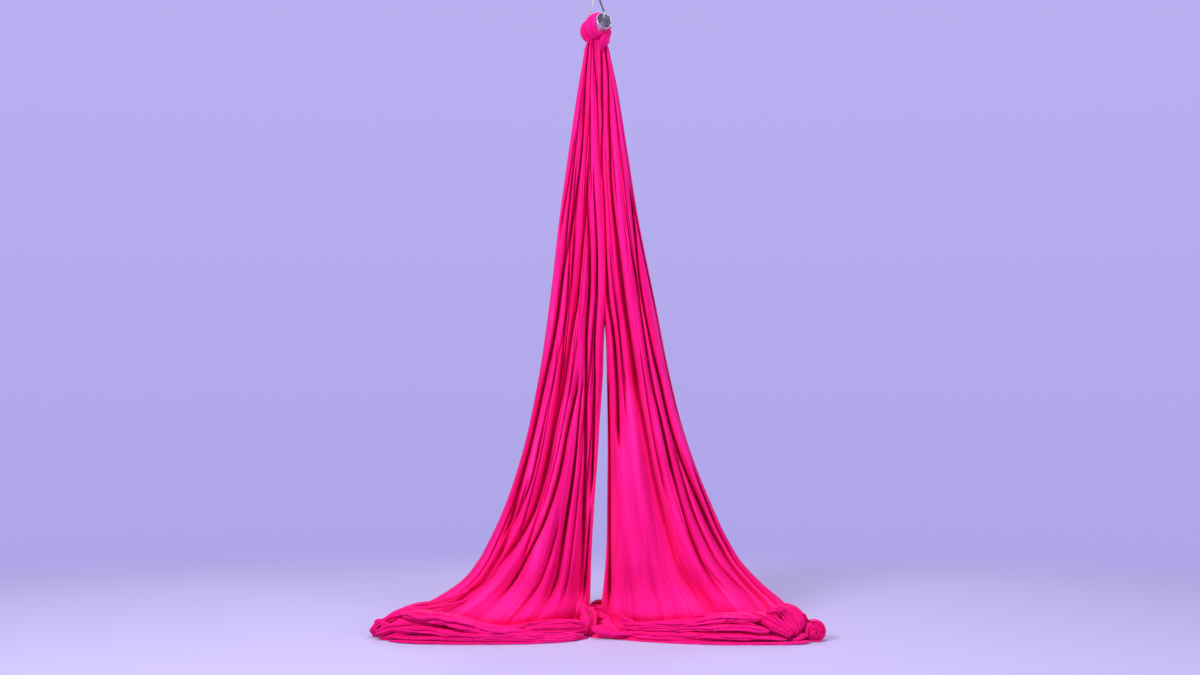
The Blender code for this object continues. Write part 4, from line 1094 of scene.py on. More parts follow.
# The folds that lie on each heap, each with a seed of its own.
LEFT_POOL_FOLDS = (
    Fold(((400, 614, -0.33, 16), (425, 616, -0.38, 24), (455, 622, -0.405, 27), (490, 629.5, -0.41, 22),
          (530, 632.5, -0.40, 14), (565, 631.5, -0.36, 10), (586, 629.5, -0.31, 7)), 61, 2.4, 3.0, 0.2),
    Fold(((392, 630, -0.36, 12), (420, 630, -0.40, 16), (460, 634, -0.425, 14), (510, 636.5, -0.43, 12),
          (560, 635.5, -0.38, 12), (584, 634, -0.33, 9)), 62, 2.2, 3.5, 0.2),
    Fold(((384, 637, -0.35, 9), (420, 637.8, -0.41, 10), (470, 638.8, -0.435, 9), (520, 639.5, -0.43, 8),
          (560, 639, -0.39, 8), (582, 638, -0.34, 8)), 63, 2.4, 3.0, 0.2),
    Fold(((388, 640.6, -0.385, 6), (414, 642.2, -0.425, 6.5), (445, 642.8, -0.435, 7), (490, 642.8, -0.44, 7),
          (540, 642, -0.42, 7), (572, 641, -0.38, 6)), 64, 2.2, 1.0, 0.12),
    Fold(((515, 628, -0.41, 5), (528, 625, -0.40, 8), (545, 622.5, -0.38, 9), (565, 621.5, -0.35, 9),
          (585, 622, -0.31, 9)), 65, 1.9, 2.0, 0.2),
    Fold(((522, 630, -0.42, 5), (540, 627.5, -0.405, 8), (560, 626.5, -0.375, 8), (583, 627, -0.325, 8)),
         66, 1.8),
    Fold(((519, 627, -0.42, 4), (525, 624.5, -0.41, 7), (532, 623, -0.405, 6), (539, 624.5, -0.40, 4)),
         67, 1.3, 2.0, 0.3),
    Fold(((582, 603, -0.17, 9), (584, 612, -0.22, 15), (586, 623, -0.27, 17), (584, 635, -0.31, 11)),
         68, 1.4, 2.0, 0.3),
    Fold(((588, 607, -0.13, 12), (591, 616, -0.18, 17), (590, 626, -0.24, 18), (587, 636, -0.28, 11)),
         69, 1.5, 2.0, 0.3),
    Fold(((379, 639, -0.27, 9), (374.5, 633, -0.275, 17), (375.5, 626.5, -0.28, 16), (383, 621.5, -0.285, 12),
          (392, 619, -0.29, 6)), 70, 1.2, 3.0, 0.28),
    Fold(((377, 634, -0.30, 9), (383, 630.5, -0.33, 17), (394, 627, -0.35, 18), (410, 625, -0.37, 10)),
         71, 1.5, 3.0, 0.28),
    Fold(((380, 622, -0.30, 6), (386, 625, -0.325, 11), (393, 628.5, -0.345, 11), (403, 631.5, -0.36, 7)),
         113, 1.5, 3.0, 0.3),
    Fold(((374.5, 623, -0.27, 4), (377.5, 620.8, -0.275, 7), (381, 620.5, -0.28, 6), (386, 621, -0.285, 4)),
         114, 1.3, 2.0, 0.3),
    Fold(((378, 640, -0.32, 7), (392, 637, -0.355, 12), (406, 633, -0.375, 12), (420, 630, -0.39, 6)),
         72, 1.6, 1.5, 0.26),
    Fold(((382, 624, -0.29, 10), (390, 618.5, -0.29, 19), (399, 614, -0.29, 20), (410, 610, -0.28, 15),
          (426, 607, -0.26, 6)), 73, 1.7),
    Fold(((410, 606.5, -0.235, 5), (430, 603, -0.215, 8), (452, 597, -0.185, 7), (470, 590, -0.16, 4)),
         74, 1.6),
    Fold(((416, 608.5, -0.26, 5), (436, 606.5, -0.25, 7), (456, 603, -0.225, 6), (474, 597, -0.19, 3)),
         75, 1.6),
    Fold(((572, 640, -0.34, 4), (579, 638.5, -0.335, 8), (584, 638, -0.325, 8), (588, 639, -0.31, 5)),
         76, 1.3, 1.0, 0.3),
    Fold(((560, 616, 0.02, 14), (572, 613, 0.05, 20), (584, 612, 0.07, 20), (590, 618, 0.06, 12)),
         77, 1.6, 2.0, 0.3),
)

RIGHT_POOL_FOLDS = (
    Fold(((622, 622.5, -0.27, 14), (650, 624.5, -0.33, 14), (690, 622, -0.38, 16), (725, 618, -0.40, 20),
          (762, 618, -0.40, 20)), 81, 2.3, 3.5, 0.2),
    Fold(((618, 628, -0.29, 10), (655, 629, -0.35, 12), (700, 628, -0.40, 14), (740, 627, -0.42, 16),
          (770, 631, -0.43, 16)), 82, 2.2, 3.5, 0.2),
    Fold(((616, 633, -0.30, 12), (660, 634.5, -0.37, 14), (710, 635.5, -0.415, 14), (755, 637, -0.43, 12),
          (788, 639.5, -0.43, 9)), 83, 2.3, 3.0, 0.2),
    Fold(((610, 639.4, -0.315, 6), (650, 641.8, -0.385, 7), (700, 643, -0.435, 7), (750, 643.8, -0.452, 6.5),
          (795, 643, -0.447, 6), (812, 641, -0.42, 5)), 84, 2.2, 1.0, 0.12),
    Fold(((690, 616.5, -0.36, 5), (712, 615, -0.385, 9), (735, 616.5, -0.40, 9), (756, 620, -0.41, 6)),
         85, 1.8),
    Fold(((700, 622.5, -0.40, 5), (722, 621.5, -0.415, 8), (742, 622.5, -0.425, 7), (758, 626, -0.43, 4)),
         86, 1.8),
    Fold(((750, 613, -0.35, 10), (764, 617, -0.39, 18), (776, 624, -0.41, 18), (787, 634, -0.42, 10)),
         87, 1.5, 3.5, 0.26),
    Fold(((756, 618, -0.38, 8), (768, 624, -0.415, 14), (779, 631, -0.43, 15), (791, 637.5, -0.43, 8)),
         100, 1.5, 3.0, 0.28),
    Fold(((768, 608.5, -0.32, 11), (781, 613, -0.37, 18), (791, 622, -0.40, 18), (798, 634, -0.41, 10)),
         88, 1.5, 3.5, 0.28),
    Fold(((762, 612, -0.35, 8), (775, 618, -0.395, 14), (785, 627, -0.415, 14), (793, 636, -0.42, 8)),
         101, 1.4, 3.0, 0.28),
    Fold(((783, 604, -0.27, 10), (793, 608.5, -0.32, 15), (800, 617, -0.36, 15), (803, 629, -0.38, 9)),
         89, 1.5, 3.5, 0.3),
    Fold(((777, 605.5, -0.29, 8), (788, 610.5, -0.34, 14), (796, 619, -0.38, 14), (801, 631, -0.40, 8)),
         102, 1.4, 3.0, 0.3),
    Fold(((778, 605.5, -0.25, 4), (783, 605, -0.26, 7), (788, 607, -0.27, 7), (791, 610, -0.28, 4)),
         103, 1.2, 2.0, 0.3),
    Fold(((788, 610, -0.28, 4), (793, 609, -0.29, 7), (798, 612, -0.30, 7), (801, 616, -0.31, 4)),
         104, 1.2, 2.0, 0.3),
    Fold(((796, 615.5, -0.31, 4), (801, 614.5, -0.32, 8), (805, 617, -0.33, 8), (808, 622, -0.33, 5)),
         105, 1.2, 2.0, 0.3),
    Fold(((766, 613.5, -0.385, 6), (773, 610.5, -0.41, 13), (781, 608.5, -0.41, 12), (788, 612, -0.40, 5)),
         90, 1.0, 2.0, 0.24),
    Fold(((792, 641, -0.42, 6), (799, 638, -0.43, 9), (804, 635.5, -0.415, 8), (808, 634, -0.39, 5)),
         91, 1.3, 2.0, 0.26),
    Fold(((811.5, 629, -0.35, 32), (810.5, 628, -0.28, 31), (806, 626.5, -0.19, 27), (799, 624.6, -0.12, 24),
          (786, 623, -0.05, 16)), 115, 1.1, 3.0, 0.26),
    Fold(((786, 639.5, -0.38, 8), (797, 639.3, -0.37, 9), (806, 638.8, -0.35, 9), (812, 638, -0.33, 5)),
         116, 1.6, 2.0, 0.26),
    Fold(((783, 634, -0.37, 12), (793, 633, -0.36, 16), (802, 633, -0.35, 14), (808, 633, -0.33, 8)),
         117, 1.6, 3.0, 0.26),
    Fold(((592, 627, -0.30, 9), (599, 630, -0.325, 20), (611, 633, -0.34, 13), (624, 634, -0.345, 7),
          (634, 634.5, -0.345, 3)), 92, 1.1, 1.0, 0.14),
    Fold(((590, 637, -0.27, 8), (600, 638, -0.29, 9), (612, 638.5, -0.305, 8), (628, 638, -0.32, 5)), 93, 1.7),
    Fold(((616, 611, -0.20, 6), (620, 615, -0.24, 10), (626, 619, -0.27, 9), (634, 621, -0.29, 4)),
         94, 1.2, 2.0, 0.3),
    Fold(((590, 607, 0.13, 14), (597, 604.5, 0.13, 24), (605, 606, 0.13, 24), (613, 612, 0.12, 14)),
         95, 1.4, 2.0, 0.3),
    Fold(((589, 617, 0.07, 12), (597, 613.5, 0.06, 20), (606, 616, 0.05, 20), (614, 622, 0.03, 12)),
         96, 1.4, 2.0, 0.3),
    Fold(((590, 626, -0.02, 10), (598, 623, -0.03, 18), (607, 625, -0.04, 18), (616, 629, -0.06, 10)),
         97, 1.4, 2.0, 0.3),
    Fold(((590, 633, -0.12, 8), (598, 630, -0.14, 16), (608, 631, -0.16, 16), (617, 634, -0.18, 8)),
         98, 1.5, 2.0, 0.3),
    Fold(((584, 636.5, -0.24, 9), (594, 637, -0.26, 13), (605, 637, -0.265, 13), (616, 637, -0.28, 9)),
         106, 1.5, 3.0, 0.2),
    Fold(((587, 612, 0.02, 14), (595, 610, 0.00, 24), (604, 611, 0.00, 24), (613, 617, 0.0, 14)),
         107, 1.4, 3.0, 0.3),
    Fold(((588, 621, -0.10, 12), (596, 618, -0.12, 20), (605, 620, -0.13, 20), (613, 626, -0.15, 12)),
         108, 1.4, 3.0, 0.3),
    Fold(((795, 617, -0.30, 8), (800, 620, -0.32, 13), (804, 627, -0.33, 15), (804, 635, -0.34, 9)),
         109, 1.5, 3.0, 0.3),
    Fold(((585, 633, -0.20, 10), (591, 633, -0.22, 15), (598, 634, -0.23, 15), (606, 635, -0.24, 9)),
         110, 1.5, 3.0, 0.3),
    Fold(((766, 613, -0.20, 16), (784, 612.5, -0.23, 27), (797, 617, -0.26, 26), (806, 628, -0.28, 18)),
         111, 1.9, 3.5, 0.22),
    Fold(((588, 615, 0.10, 18), (597, 612, 0.10, 27), (606, 614, 0.10, 27), (614, 620, 0.08, 16)),
         112, 1.6, 3.0, 0.26),
    Fold(((598, 618, -0.10, 8), (601, 624, -0.16, 13), (604, 631, -0.22, 12), (606, 636, -0.27, 7)),
         99, 1.2, 2.0, 0.3),
)


@dataclass
class Roll:
    """A free end of cloth rolled on itself, seen end on as petals round a middle."""

    centre: tuple[float, float, float]
    axis: tuple[float, float, float]
    outer: float
    turns: float
    length: float
    seed: int
    start: float = 0.0
    inner: float = 3 * MM
    wave: float = 5 * MM
    """Its outer and inner radius, turns, length, first angle, and how far the cloth strays from the coil."""
    rows_per_turn: int = 84
    around: int = 34
    clear: float = 1 * MM

    def mesh(self) -> bpy.types.Mesh:
        """Winds a puffed band of cloth inward, with its middle turns standing a little proud.

        Returns:
            The roll's mesh.
        """
        noise = Noise(self.seed)
        along = np.linspace(0, 1, int(self.rows_per_turn * self.turns))[:, None]
        turn = once_round(self.around)[None, :]
        c = np.cos(turn)
        s = np.sin(turn)
        angle = self.start + math.tau * self.turns * along
        radius = self.outer + (self.inner - self.outer) * along**0.9
        radius = radius + self.wave * noise.rough(angle * 0.75 + 7, 2, 2) * (1 - 0.5 * along)
        half = (self.outer - self.inner) / self.turns * 0.62 * taper(along, 0.05, 0.002) ** 0.5
        dents = noise.rough(1.3 * c + 1.5 * angle, 1.3 * s + 0.9 * angle + 20)
        comb = ridge(2 * turn + 1.6 * noise.rough(1.4 * angle, 1.1 * c + 40))
        swell = 1 + 0.28 * dents - 0.34 * comb**1.6
        depth = self.length * (0.5 + 0.22 * along + 0.34 * c * swell)
        depth = depth + self.wave * noise.rough(angle + 30, 9, 2)
        way = Vector(self.axis).normalized()
        right = way.cross(Vector((0, 0, 1))).normalized()
        top = right.cross(way)
        reach = radius + half * s * swell
        local = side_by_side(reach * np.cos(angle), reach * np.sin(angle), depth)
        points = local @ np.array([right, top, way]) + np.array(self.centre)
        points[..., 2] = np.maximum(points[..., 2], FLOOR_Z + self.clear)
        return grid_mesh("roll", points, round_v=True, uv=side_by_side(turn * 0.01, angle * self.outer * 0.6))


@dataclass
class Pool:
    """The spare length of one tail on the floor: a low heap under long folds, with a rolled free end.

    A reach is a share of the way from the slit at 0 to the heap's tip at 1. Tables of (reach, value) give its
    height and its front and back edges.
    """

    side: Side
    height: Table
    front: Table
    tip: float
    folds: tuple[Fold, ...]
    seed: int
    slit_x: float
    rolls: tuple[Roll, ...] = ()
    back: Table = ((0.0, 0.19), (0.5, 0.18), (0.8, 0.06), (1.0, -0.16))
    flat: tuple[float, float] = (1.1, 1.25)
    bend: float = 0.075
    tuck: float = math.radians(112)
    """The radius of the heap's brow, and how far round the cloth goes there before it ends underneath."""
    crest_share: float = 0.5
    spokes: int = 440
    rings: int = 70
    broad_folds: float = 6.5
    fine_folds: float = 15
    crumple: float = 26 * MM
    """Folds from the middle to the edge, and how deep the two ends crumple."""
    clear: float = 1.2 * MM

    def outline(self) -> tuple[Array, Array]:
        """The heap's edge on the floor and how far out each of its points is.

        Returns:
            Edge points by two, and reaches.
        """
        turn = once_round(2400)
        share = 0.5 - 0.5 * np.sign(np.cos(turn)) * np.abs(np.cos(turn)) ** 0.5
        x = self.slit_x + share * self.tip
        front = curve_at(self.front, share)
        back = curve_at(self.back, share)
        middle = (front + back) / 2
        lift = np.abs(np.sin(turn)) ** 0.6
        y = middle + np.where(np.sin(turn) > 0, front - middle, back - middle) * lift
        step = np.hypot(np.roll(x, -1) - x, np.roll(y, -1) - y)
        length = np.concatenate([[0], np.cumsum(step)[:-1]])
        even = np.linspace(0, step.sum(), self.spokes, endpoint=False)
        edge_x = np.interp(even, length, x)
        edge = np.stack([edge_x, np.interp(even, length, y)], -1)
        return edge, np.clip((edge_x - self.slit_x) / self.tip, 0, 1)

    def surface(self) -> tuple[Array, Array]:
        """The heap's cloth: from a spine out over its crest and down to a tucked edge on the floor.

        Returns:
            Points, spokes by rings by three, and the cloth's own places by two.
        """
        edge, share = self.outline()
        spine_x = np.clip(edge[:, 0], 0.12, self.tip - 0.10)
        spine_share = np.clip((spine_x - self.slit_x) / self.tip, 0, 1)
        spine_y = (curve_at(self.front, spine_share) + curve_at(self.back, spine_share)) / 2 + 0.03
        spine = np.stack([spine_x, spine_y], -1)
        away = edge - spine
        far = np.linalg.norm(away, axis=1, keepdims=True)
        out = away / np.maximum(far, 1e-6)
        ring = np.linspace(0, 1, self.rings)[None, :]
        bend = np.minimum(self.bend, far * 0.6)
        inside = ring < self.crest_share
        level = np.minimum(ring / self.crest_share, 1)
        roll = np.clip((ring - self.crest_share) / (1 - self.crest_share), 0, 1) * self.tuck
        radial = np.where(inside, level * (far - bend), far - bend + bend * np.sin(roll))
        low = math.cos(self.tuck)
        z = np.where(inside, 1.0, (np.cos(roll) - low) / (1 - low)) * curve_at(self.height, share)[:, None]
        reach = share[:, None] * np.ones_like(ring)
        cut = self.creases(ring, reach, ease(-0.1, 0.5, out[:, 1:2])) * np.minimum(1, (1 - ring) / 0.04)
        radial = radial - cut * np.where(inside, 0.0, np.sin(roll))
        x, y = (spine[:, k : k + 1] + out[:, k : k + 1] * radial for k in range(2))
        z = np.maximum(z - cut * np.where(inside, 1.0, np.maximum(np.cos(roll), 0.0)), self.clear)
        return side_by_side(self.side.value * x, y, FLOOR_Z + z), side_by_side(0.35 * ring, reach * 1.1)

    def creases(self, ring: Array, reach: Array, behind: Array) -> Array:
        """How deep the heap is creased: broad folds along it, fine ones between, and crumples at both ends.

        Args:
            ring: shares of the way from the spine to the edge.
            reach: reaches, spokes by rings.
            behind: one for spokes at the back, where the folds are deeper, and 0 in front.

        Returns:
            Depths in metres.
        """
        noise = Noise(self.seed)
        wander = 1.3 * noise.rough(reach * 4 + 11, ring * 3 + 5)
        comb = ridge(math.pi * (self.broad_folds * ring + wander + 0.5 * reach))
        broad = noise.rough(reach * 7 + 50, ring * 4 + 9 * behind, 2)
        cut = comb**1.7 * (12 + 9 * behind) * MM - 9 * MM * broad
        thin = ridge(math.pi * (self.fine_folds * ring + 2.6 * noise.rough(reach * 8 + 3, ring * 4 + 40)))
        cut = cut + thin**1.5 * 3.0 * MM * (0.5 + 0.5 * noise.at(reach * 9, ring * 6 + 2))
        ends = 1 - ease(0.04, 0.20, reach) + ease(0.82, 0.96, reach)
        girth = math.tau * (np.arange(1, self.spokes + 1)[:, None] / self.spokes)
        return cut + np.abs(noise.rough(np.cos(girth) * 9 + ring * 5, np.sin(girth) * 9)) * self.crumple * ends

    def build(self, cloth: bpy.types.Material) -> bpy.types.Object:
        """Makes the heap with its folds and rolled ends.

        Args:
            cloth: the tricot.

        Returns:
            The heap.
        """
        word = self.side.name.lower()
        points, flat = self.surface()
        parts = [grid_mesh("heap", points, round_u=True, uv=flat)]
        parts += [part.mesh() for part in (*self.folds, *self.rolls)]
        heap = piece(f"{word}_silk_pool", joined(f"{word}_silk_pool", parts), cloth)
        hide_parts(f"{word}_pool")
        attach(heap, f"{word}_heap")
        return heap


def tube_frame() -> Matrix:
    """The hanging tube's own frame: X along it toward its front mouth, with its origin at the tube's middle."""
    turn = Matrix.Rotation(RIG_TURN, 4, "Z") @ Matrix.Rotation(-TUBE_TILT, 4, "Y")
    return Matrix.Translation((0, 0, TUBE_Z)) @ turn


def place_points(points: Array, frame: Matrix) -> Array:
    """Moves a grid of points from a frame into the world.

    Args:
        points: the grid, with three numbers a point.
        frame: the frame.

    Returns:
        The moved grid.
    """
    matrix = np.array(frame)
    return points @ matrix[:3, :3].T + matrix[:3, 3]


@dataclass
class Hitch:
    """The turns of gathered cloth round the tube and the fold that crosses below them."""

    tube_radius: float = 38 * MM
    back: float = -52 * MM
    front: float = 74 * MM
    slant: float = 9 * MM
    bare_below: float = 19 * MM
    """The turns' two ends along the tube, how the front one slants, and how much of the tube it bares below."""
    thick: float = 17 * MM
    thin: float = 9 * MM
    lobe: float = 8 * MM
    """How thick the turns are on the top of the tube and under it, and how far the lobes swell."""
    valley: float = 27 * MM
    groove: float = 4 * MM
    pleat: float = 3.6 * MM
    """How deep the valley between the two lobes is, the groove in the front one, and the pleats."""
    seed: int = 41
    bight_centres: tuple[tuple[float, float, float], ...] = (
        (71.8 * MM, -6 * MM, -6.8 * MM),
        (58 * MM, -41.8 * MM, -35.5 * MM),
        (46 * MM, -59.8 * MM, -57.7 * MM),
        (37 * MM, -47 * MM, -78 * MM),
        (33 * MM, -26 * MM, -96 * MM),
    )
    bight_widths: tuple[float, ...] = (7 * MM, 16 * MM, 27 * MM, 25 * MM, 11 * MM)
    bight_thick: float = 9 * MM

    def wrap(self) -> bpy.types.Mesh:
        """The turns on the tube: one broad lobe in front, one behind it, and pleats that run round both.

        Returns:
            The turns' mesh.
        """
        noise = Noise(self.seed)
        turn = once_round(260)[:, None]
        share = np.linspace(0, 1, 170)[None, :]
        up = (1 + np.cos(turn)) / 2
        left = (1 + np.sin(turn)) / 2
        thick = self.thin + (self.thick - self.thin) * np.minimum(1, 0.45 + up * 3)
        front = self.front + self.slant * left - self.bare_below * (1 - ease(0.0, 0.42, up))
        bulge = (1 - np.abs(2 * share - 1) ** 3.4) ** 0.5
        ring_x = np.cos(turn) * 2 + 9
        ring_y = np.sin(turn) * 2 + 9
        drift = 0.05 * noise.rough(ring_x, ring_y)
        valley = np.exp(-(np.abs((share + drift - 0.43) / 0.07) ** 1.3))
        second = np.exp(-(np.abs((share + 1.4 * drift - 0.76) / 0.03) ** 1.2))
        swell = self.lobe * left * (0.8 + 0.2 * up)
        cut = self.valley * valley * left * (0.26 + 0.74 * (1 - up) ** 0.7)
        cut = cut + self.groove * second * (1 - 0.5 * up)
        comb = ridge(math.pi * (9 * share + 1.6 * noise.rough(ring_x * 1.2, share * 3)))
        pleat = comb**1.8 * self.pleat * (0.5 + 0.5 * noise.at(ring_x * 2, share * 5 + ring_y))
        fine = 0.5 * MM * noise.rough(ring_x * 3, share * 22 + ring_y)
        proud = (thick + swell) * bulge - (cut + pleat + fine) * np.minimum(1, bulge * 1.2)
        radius = self.tube_radius + 0.6 * MM + np.maximum(proud, 0.2 * MM)
        along = self.back + (front - self.back) * share
        points = place_points(side_by_side(along, -radius * np.sin(turn), radius * np.cos(turn)), tube_frame())
        return grid_mesh("hitch_wrap_cloth", points, round_u=True, uv=side_by_side(share * 0.17, turn * 0.05))

    def bight(self) -> bpy.types.Mesh:
        """The fold that comes from under the tube on the right and crosses the front of the neck.

        Returns:
            The fold's mesh.
        """
        noise = Noise(self.seed + 5)
        last = len(self.bight_centres) - 1
        at = np.linspace(0, last, 110)
        centre = path_at(np.array(self.bight_centres), at) + np.array((0, 0, TUBE_Z))
        half = curve_at(list(enumerate(self.bight_widths)), at)
        along = unit(np.gradient(centre, axis=0))
        out = centre * np.array((1, 1, 0))
        out = unit(out - along * np.sum(out * along, axis=1, keepdims=True))
        wide = np.cross(along, out)
        turn = once_round(96)[None, :]
        share = (at / last)[:, None]
        thick = self.bight_thick * np.maximum(0.4, (1 - np.abs(2 * share - 1) ** 4) ** 0.5)
        thick = thick * taper(share, 0.05, 0.02)
        half = half[:, None] * taper(share, 0.05, 0.02) ** 0.5
        comb = ridge(math.pi * (2.6 * np.sin(turn) + 1.2 * noise.rough(share * 3, np.sin(turn) + 5)))
        ripple = 1 - 0.26 * comb**1.5 - 0.06 * noise.rough(share * 8, np.sin(turn) * 3 + 8)
        u = np.cos(turn) * thick * ripple
        v = np.sin(turn) * half * (1 - 0.05 * comb)
        points = centre[:, None, :] + out[:, None, :] * u[..., None] + wide[:, None, :] * v[..., None]
        return grid_mesh("hitch_bight_cloth", points, round_v=True, uv=side_by_side(turn * 0.02, share * 0.14))

    def build(self, cloth: bpy.types.Material) -> None:
        """Makes both pieces of cloth at the hitch.

        Args:
            cloth: the tricot.
        """
        wrap = piece("hitch_wrap_silk", self.wrap(), cloth)
        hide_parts("hitch_wrap")
        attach(wrap, "tube")
        bight = piece("hitch_bight_silk", self.bight(), cloth)
        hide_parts("hitch_bight")
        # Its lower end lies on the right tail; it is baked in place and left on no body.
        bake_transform(bight)


@dataclass
class Sling:
    """The steel wire rope, laid from six strands round a core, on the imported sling's own route."""

    radius: float = 4 * MM
    strands: int = 6
    lay: float = 42 * MM
    step: float = 2 * MM
    """The rope's radius, its strands, the length of one lay, and how far apart its sections are."""
    eye_z: float = -195.7 * MM
    eye_radius: float = 15 * MM
    strand_half: float = 4.15 * MM
    ferrule_top: float = -242.7 * MM
    ferrule_low: float = -280.7 * MM
    leg_top: float = -282.7 * MM
    """Heights from the ceiling, the eye's radius, and half the space between the two legs at the ferrule."""
    rim_radius: float = 22 * MM
    rim_reach: float = 58 * MM
    run_up: float = 17 * MM
    shift: float = 22 * MM
    joint_half: float = 0.5 * MM
    """The bend over each rim, its reach from the run's middle, and where that run lies in the tube's frame."""
    arc_steps: int = 15
    strand_faces: int = 9

    def in_tube(self, along: float, up: float) -> tuple[float, float]:
        """A point of the tube's frame in the rig's own X and Z.

        Args:
            along: along the tube.
            up: up from its middle line.

        Returns:
            X and Z.
        """
        x = along * math.cos(TUBE_TILT) - up * math.sin(TUBE_TILT)
        return x, along * math.sin(TUBE_TILT) + up * math.cos(TUBE_TILT) + TUBE_Z

    def touch(self, point: tuple[float, float], centre: tuple[float, float], radius: float, side: int) -> float:
        """Where a straight run from a point meets a bend.

        Args:
            point: the run's start.
            centre: the bend's centre.
            radius: its radius.
            side: which of the two tangents, 1 or -1.

        Returns:
            The angle on the bend.
        """
        dx, dz = point[0] - centre[0], point[1] - centre[1]
        return math.atan2(dz, dx) + side * math.acos(radius / math.hypot(dx, dz))

    def arc(
        self, centre: tuple[float, float], radius: float, start: float, end: float
    ) -> list[tuple[float, float]]:
        """Points on a bend.

        Args:
            centre: its centre.
            radius: its radius.
            start: first angle.
            end: last angle.

        Returns:
            The points, both ends with them.
        """
        angles = [start + (end - start) * i / self.arc_steps for i in range(self.arc_steps + 1)]
        return [(centre[0] + radius * math.cos(a), centre[1] + radius * math.sin(a)) for a in angles]

    def route(self) -> list[Vector]:
        """The rope's middle line, from its joint in the tube, up round the eye and back to the joint.

        Returns:
            The line's points.
        """
        eye_centre = (0.0, self.eye_z)
        start = self.touch((self.strand_half, self.ferrule_top), eye_centre, self.eye_radius, 1)
        eye = self.arc(eye_centre, self.eye_radius, math.pi / 2, start)
        down = TUBE_TILT - math.pi / 2
        front_centre = self.in_tube(self.shift + self.rim_reach, self.run_up + self.rim_radius)
        back_centre = self.in_tube(self.shift - self.rim_reach, self.run_up + self.rim_radius)
        front = self.touch((self.strand_half, self.leg_top), front_centre, self.rim_radius, -1)
        back = self.touch((-self.strand_half, self.leg_top), back_centre, self.rim_radius, 1)
        legs = [self.leg_top, self.ferrule_low, self.ferrule_top]
        path = [self.in_tube(self.shift + self.joint_half, self.run_up)]
        path += self.arc(front_centre, self.rim_radius, down, front)
        path += [(self.strand_half, z) for z in legs] + eye[::-1] + [(-x, z) for x, z in eye[1:]]
        path += [(-self.strand_half, z) for z in legs[::-1]]
        path += self.arc(back_centre, self.rim_radius, back % math.tau, down + math.tau)
        path.append(self.in_tube(self.shift - self.joint_half, self.run_up))
        turn = Matrix.Rotation(RIG_TURN, 3, "Z")
        return [turn @ Vector((x, 0, z)) for x, z in path]

    def tree(self, finish: bpy.types.Material) -> bpy.types.GeometryNodeTree:
        """The node tree that lays strands along a path.

        Args:
            finish: the strands' material.

        Returns:
            The tree.
        """
        tree = bpy.data.node_groups.new("laid_rope", "GeometryNodeTree")
        face = tree.interface
        face.new_socket("Geometry", in_out="INPUT", socket_type="NodeSocketGeometry")
        for name, kind in (
            ("Step", "NodeSocketFloat"), ("Lay", "NodeSocketFloat"), ("Strand Radius", "NodeSocketFloat"),
            ("Strands", "NodeSocketInt"),
        ):
            face.new_socket(name, in_out="INPUT", socket_type=kind)
        face.new_socket("Geometry", in_out="OUTPUT", socket_type="NodeSocketGeometry")
        given = add(tree, "NodeGroupInput")
        line = add(
            tree, "GeometryNodeResampleCurve", {"mode": "LENGTH"},
            {"Curve": given.outputs["Geometry"], "Length": given.outputs["Step"]},
        )
        copies = add(
            tree, "GeometryNodeDuplicateElements", {"domain": "SPLINE"},
            {"Geometry": line.outputs["Curve"], "Amount": given.outputs["Strands"]},
        )
        along = add(tree, "GeometryNodeSplineParameter")
        normal = add(tree, "GeometryNodeInputNormal")
        tangent = add(tree, "GeometryNodeInputTangent")
        beside = add(
            tree, "ShaderNodeVectorMath", {"operation": "CROSS_PRODUCT"},
            {0: tangent.outputs["Tangent"], 1: normal.outputs["Normal"]},
        )
        turns = add(
            tree, "ShaderNodeMath", {"operation": "DIVIDE"},
            {0: along.outputs["Length"], 1: given.outputs["Lay"]},
        )
        order = add(
            tree, "ShaderNodeMath", {"operation": "DIVIDE"},
            {0: copies.outputs["Duplicate Index"], 1: given.outputs["Strands"]},
        )
        both = add(tree, "ShaderNodeMath", {"operation": "ADD"}, {0: turns.outputs[0], 1: order.outputs[0]})
        angle = add(tree, "ShaderNodeMath", {"operation": "MULTIPLY"}, {0: both.outputs[0], 1: math.tau})
        out = add(
            tree, "ShaderNodeMath", {"operation": "MULTIPLY"}, {0: given.outputs["Strand Radius"], 1: 2.0}
        )
        parts = []
        for operation, way in (("COSINE", normal.outputs["Normal"]), ("SINE", beside.outputs["Vector"])):
            share = add(tree, "ShaderNodeMath", {"operation": operation}, {0: angle.outputs[0]})
            size = add(
                tree, "ShaderNodeMath", {"operation": "MULTIPLY"}, {0: share.outputs[0], 1: out.outputs[0]}
            )
            parts.append(
                add(tree, "ShaderNodeVectorMath", {"operation": "SCALE"}, {0: way, "Scale": size.outputs[0]})
            )
        offset = add(
            tree, "ShaderNodeVectorMath", {"operation": "ADD"},
            {0: parts[0].outputs["Vector"], 1: parts[1].outputs["Vector"]},
        )
        laid = add(
            tree, "GeometryNodeSetPosition",
            links={"Geometry": copies.outputs["Geometry"], "Offset": offset.outputs["Vector"]},
        )
        all_lines = add(tree, "GeometryNodeJoinGeometry")
        tree.links.new(laid.outputs["Geometry"], all_lines.inputs["Geometry"])
        tree.links.new(line.outputs["Curve"], all_lines.inputs["Geometry"])
        section = add(
            tree, "GeometryNodeCurvePrimitiveCircle",
            links={"Resolution": self.strand_faces, "Radius": given.outputs["Strand Radius"]},
        )
        body = add(
            tree, "GeometryNodeCurveToMesh",
            links={
                "Curve": all_lines.outputs["Geometry"], "Profile Curve": section.outputs["Curve"],
                "Fill Caps": True,
            },
        )
        real = add(tree, "GeometryNodeRealizeInstances", links={"Geometry": body.outputs["Mesh"]})
        dressed = add(
            tree, "GeometryNodeSetMaterial", links={"Geometry": real.outputs["Geometry"], "Material": finish}
        )
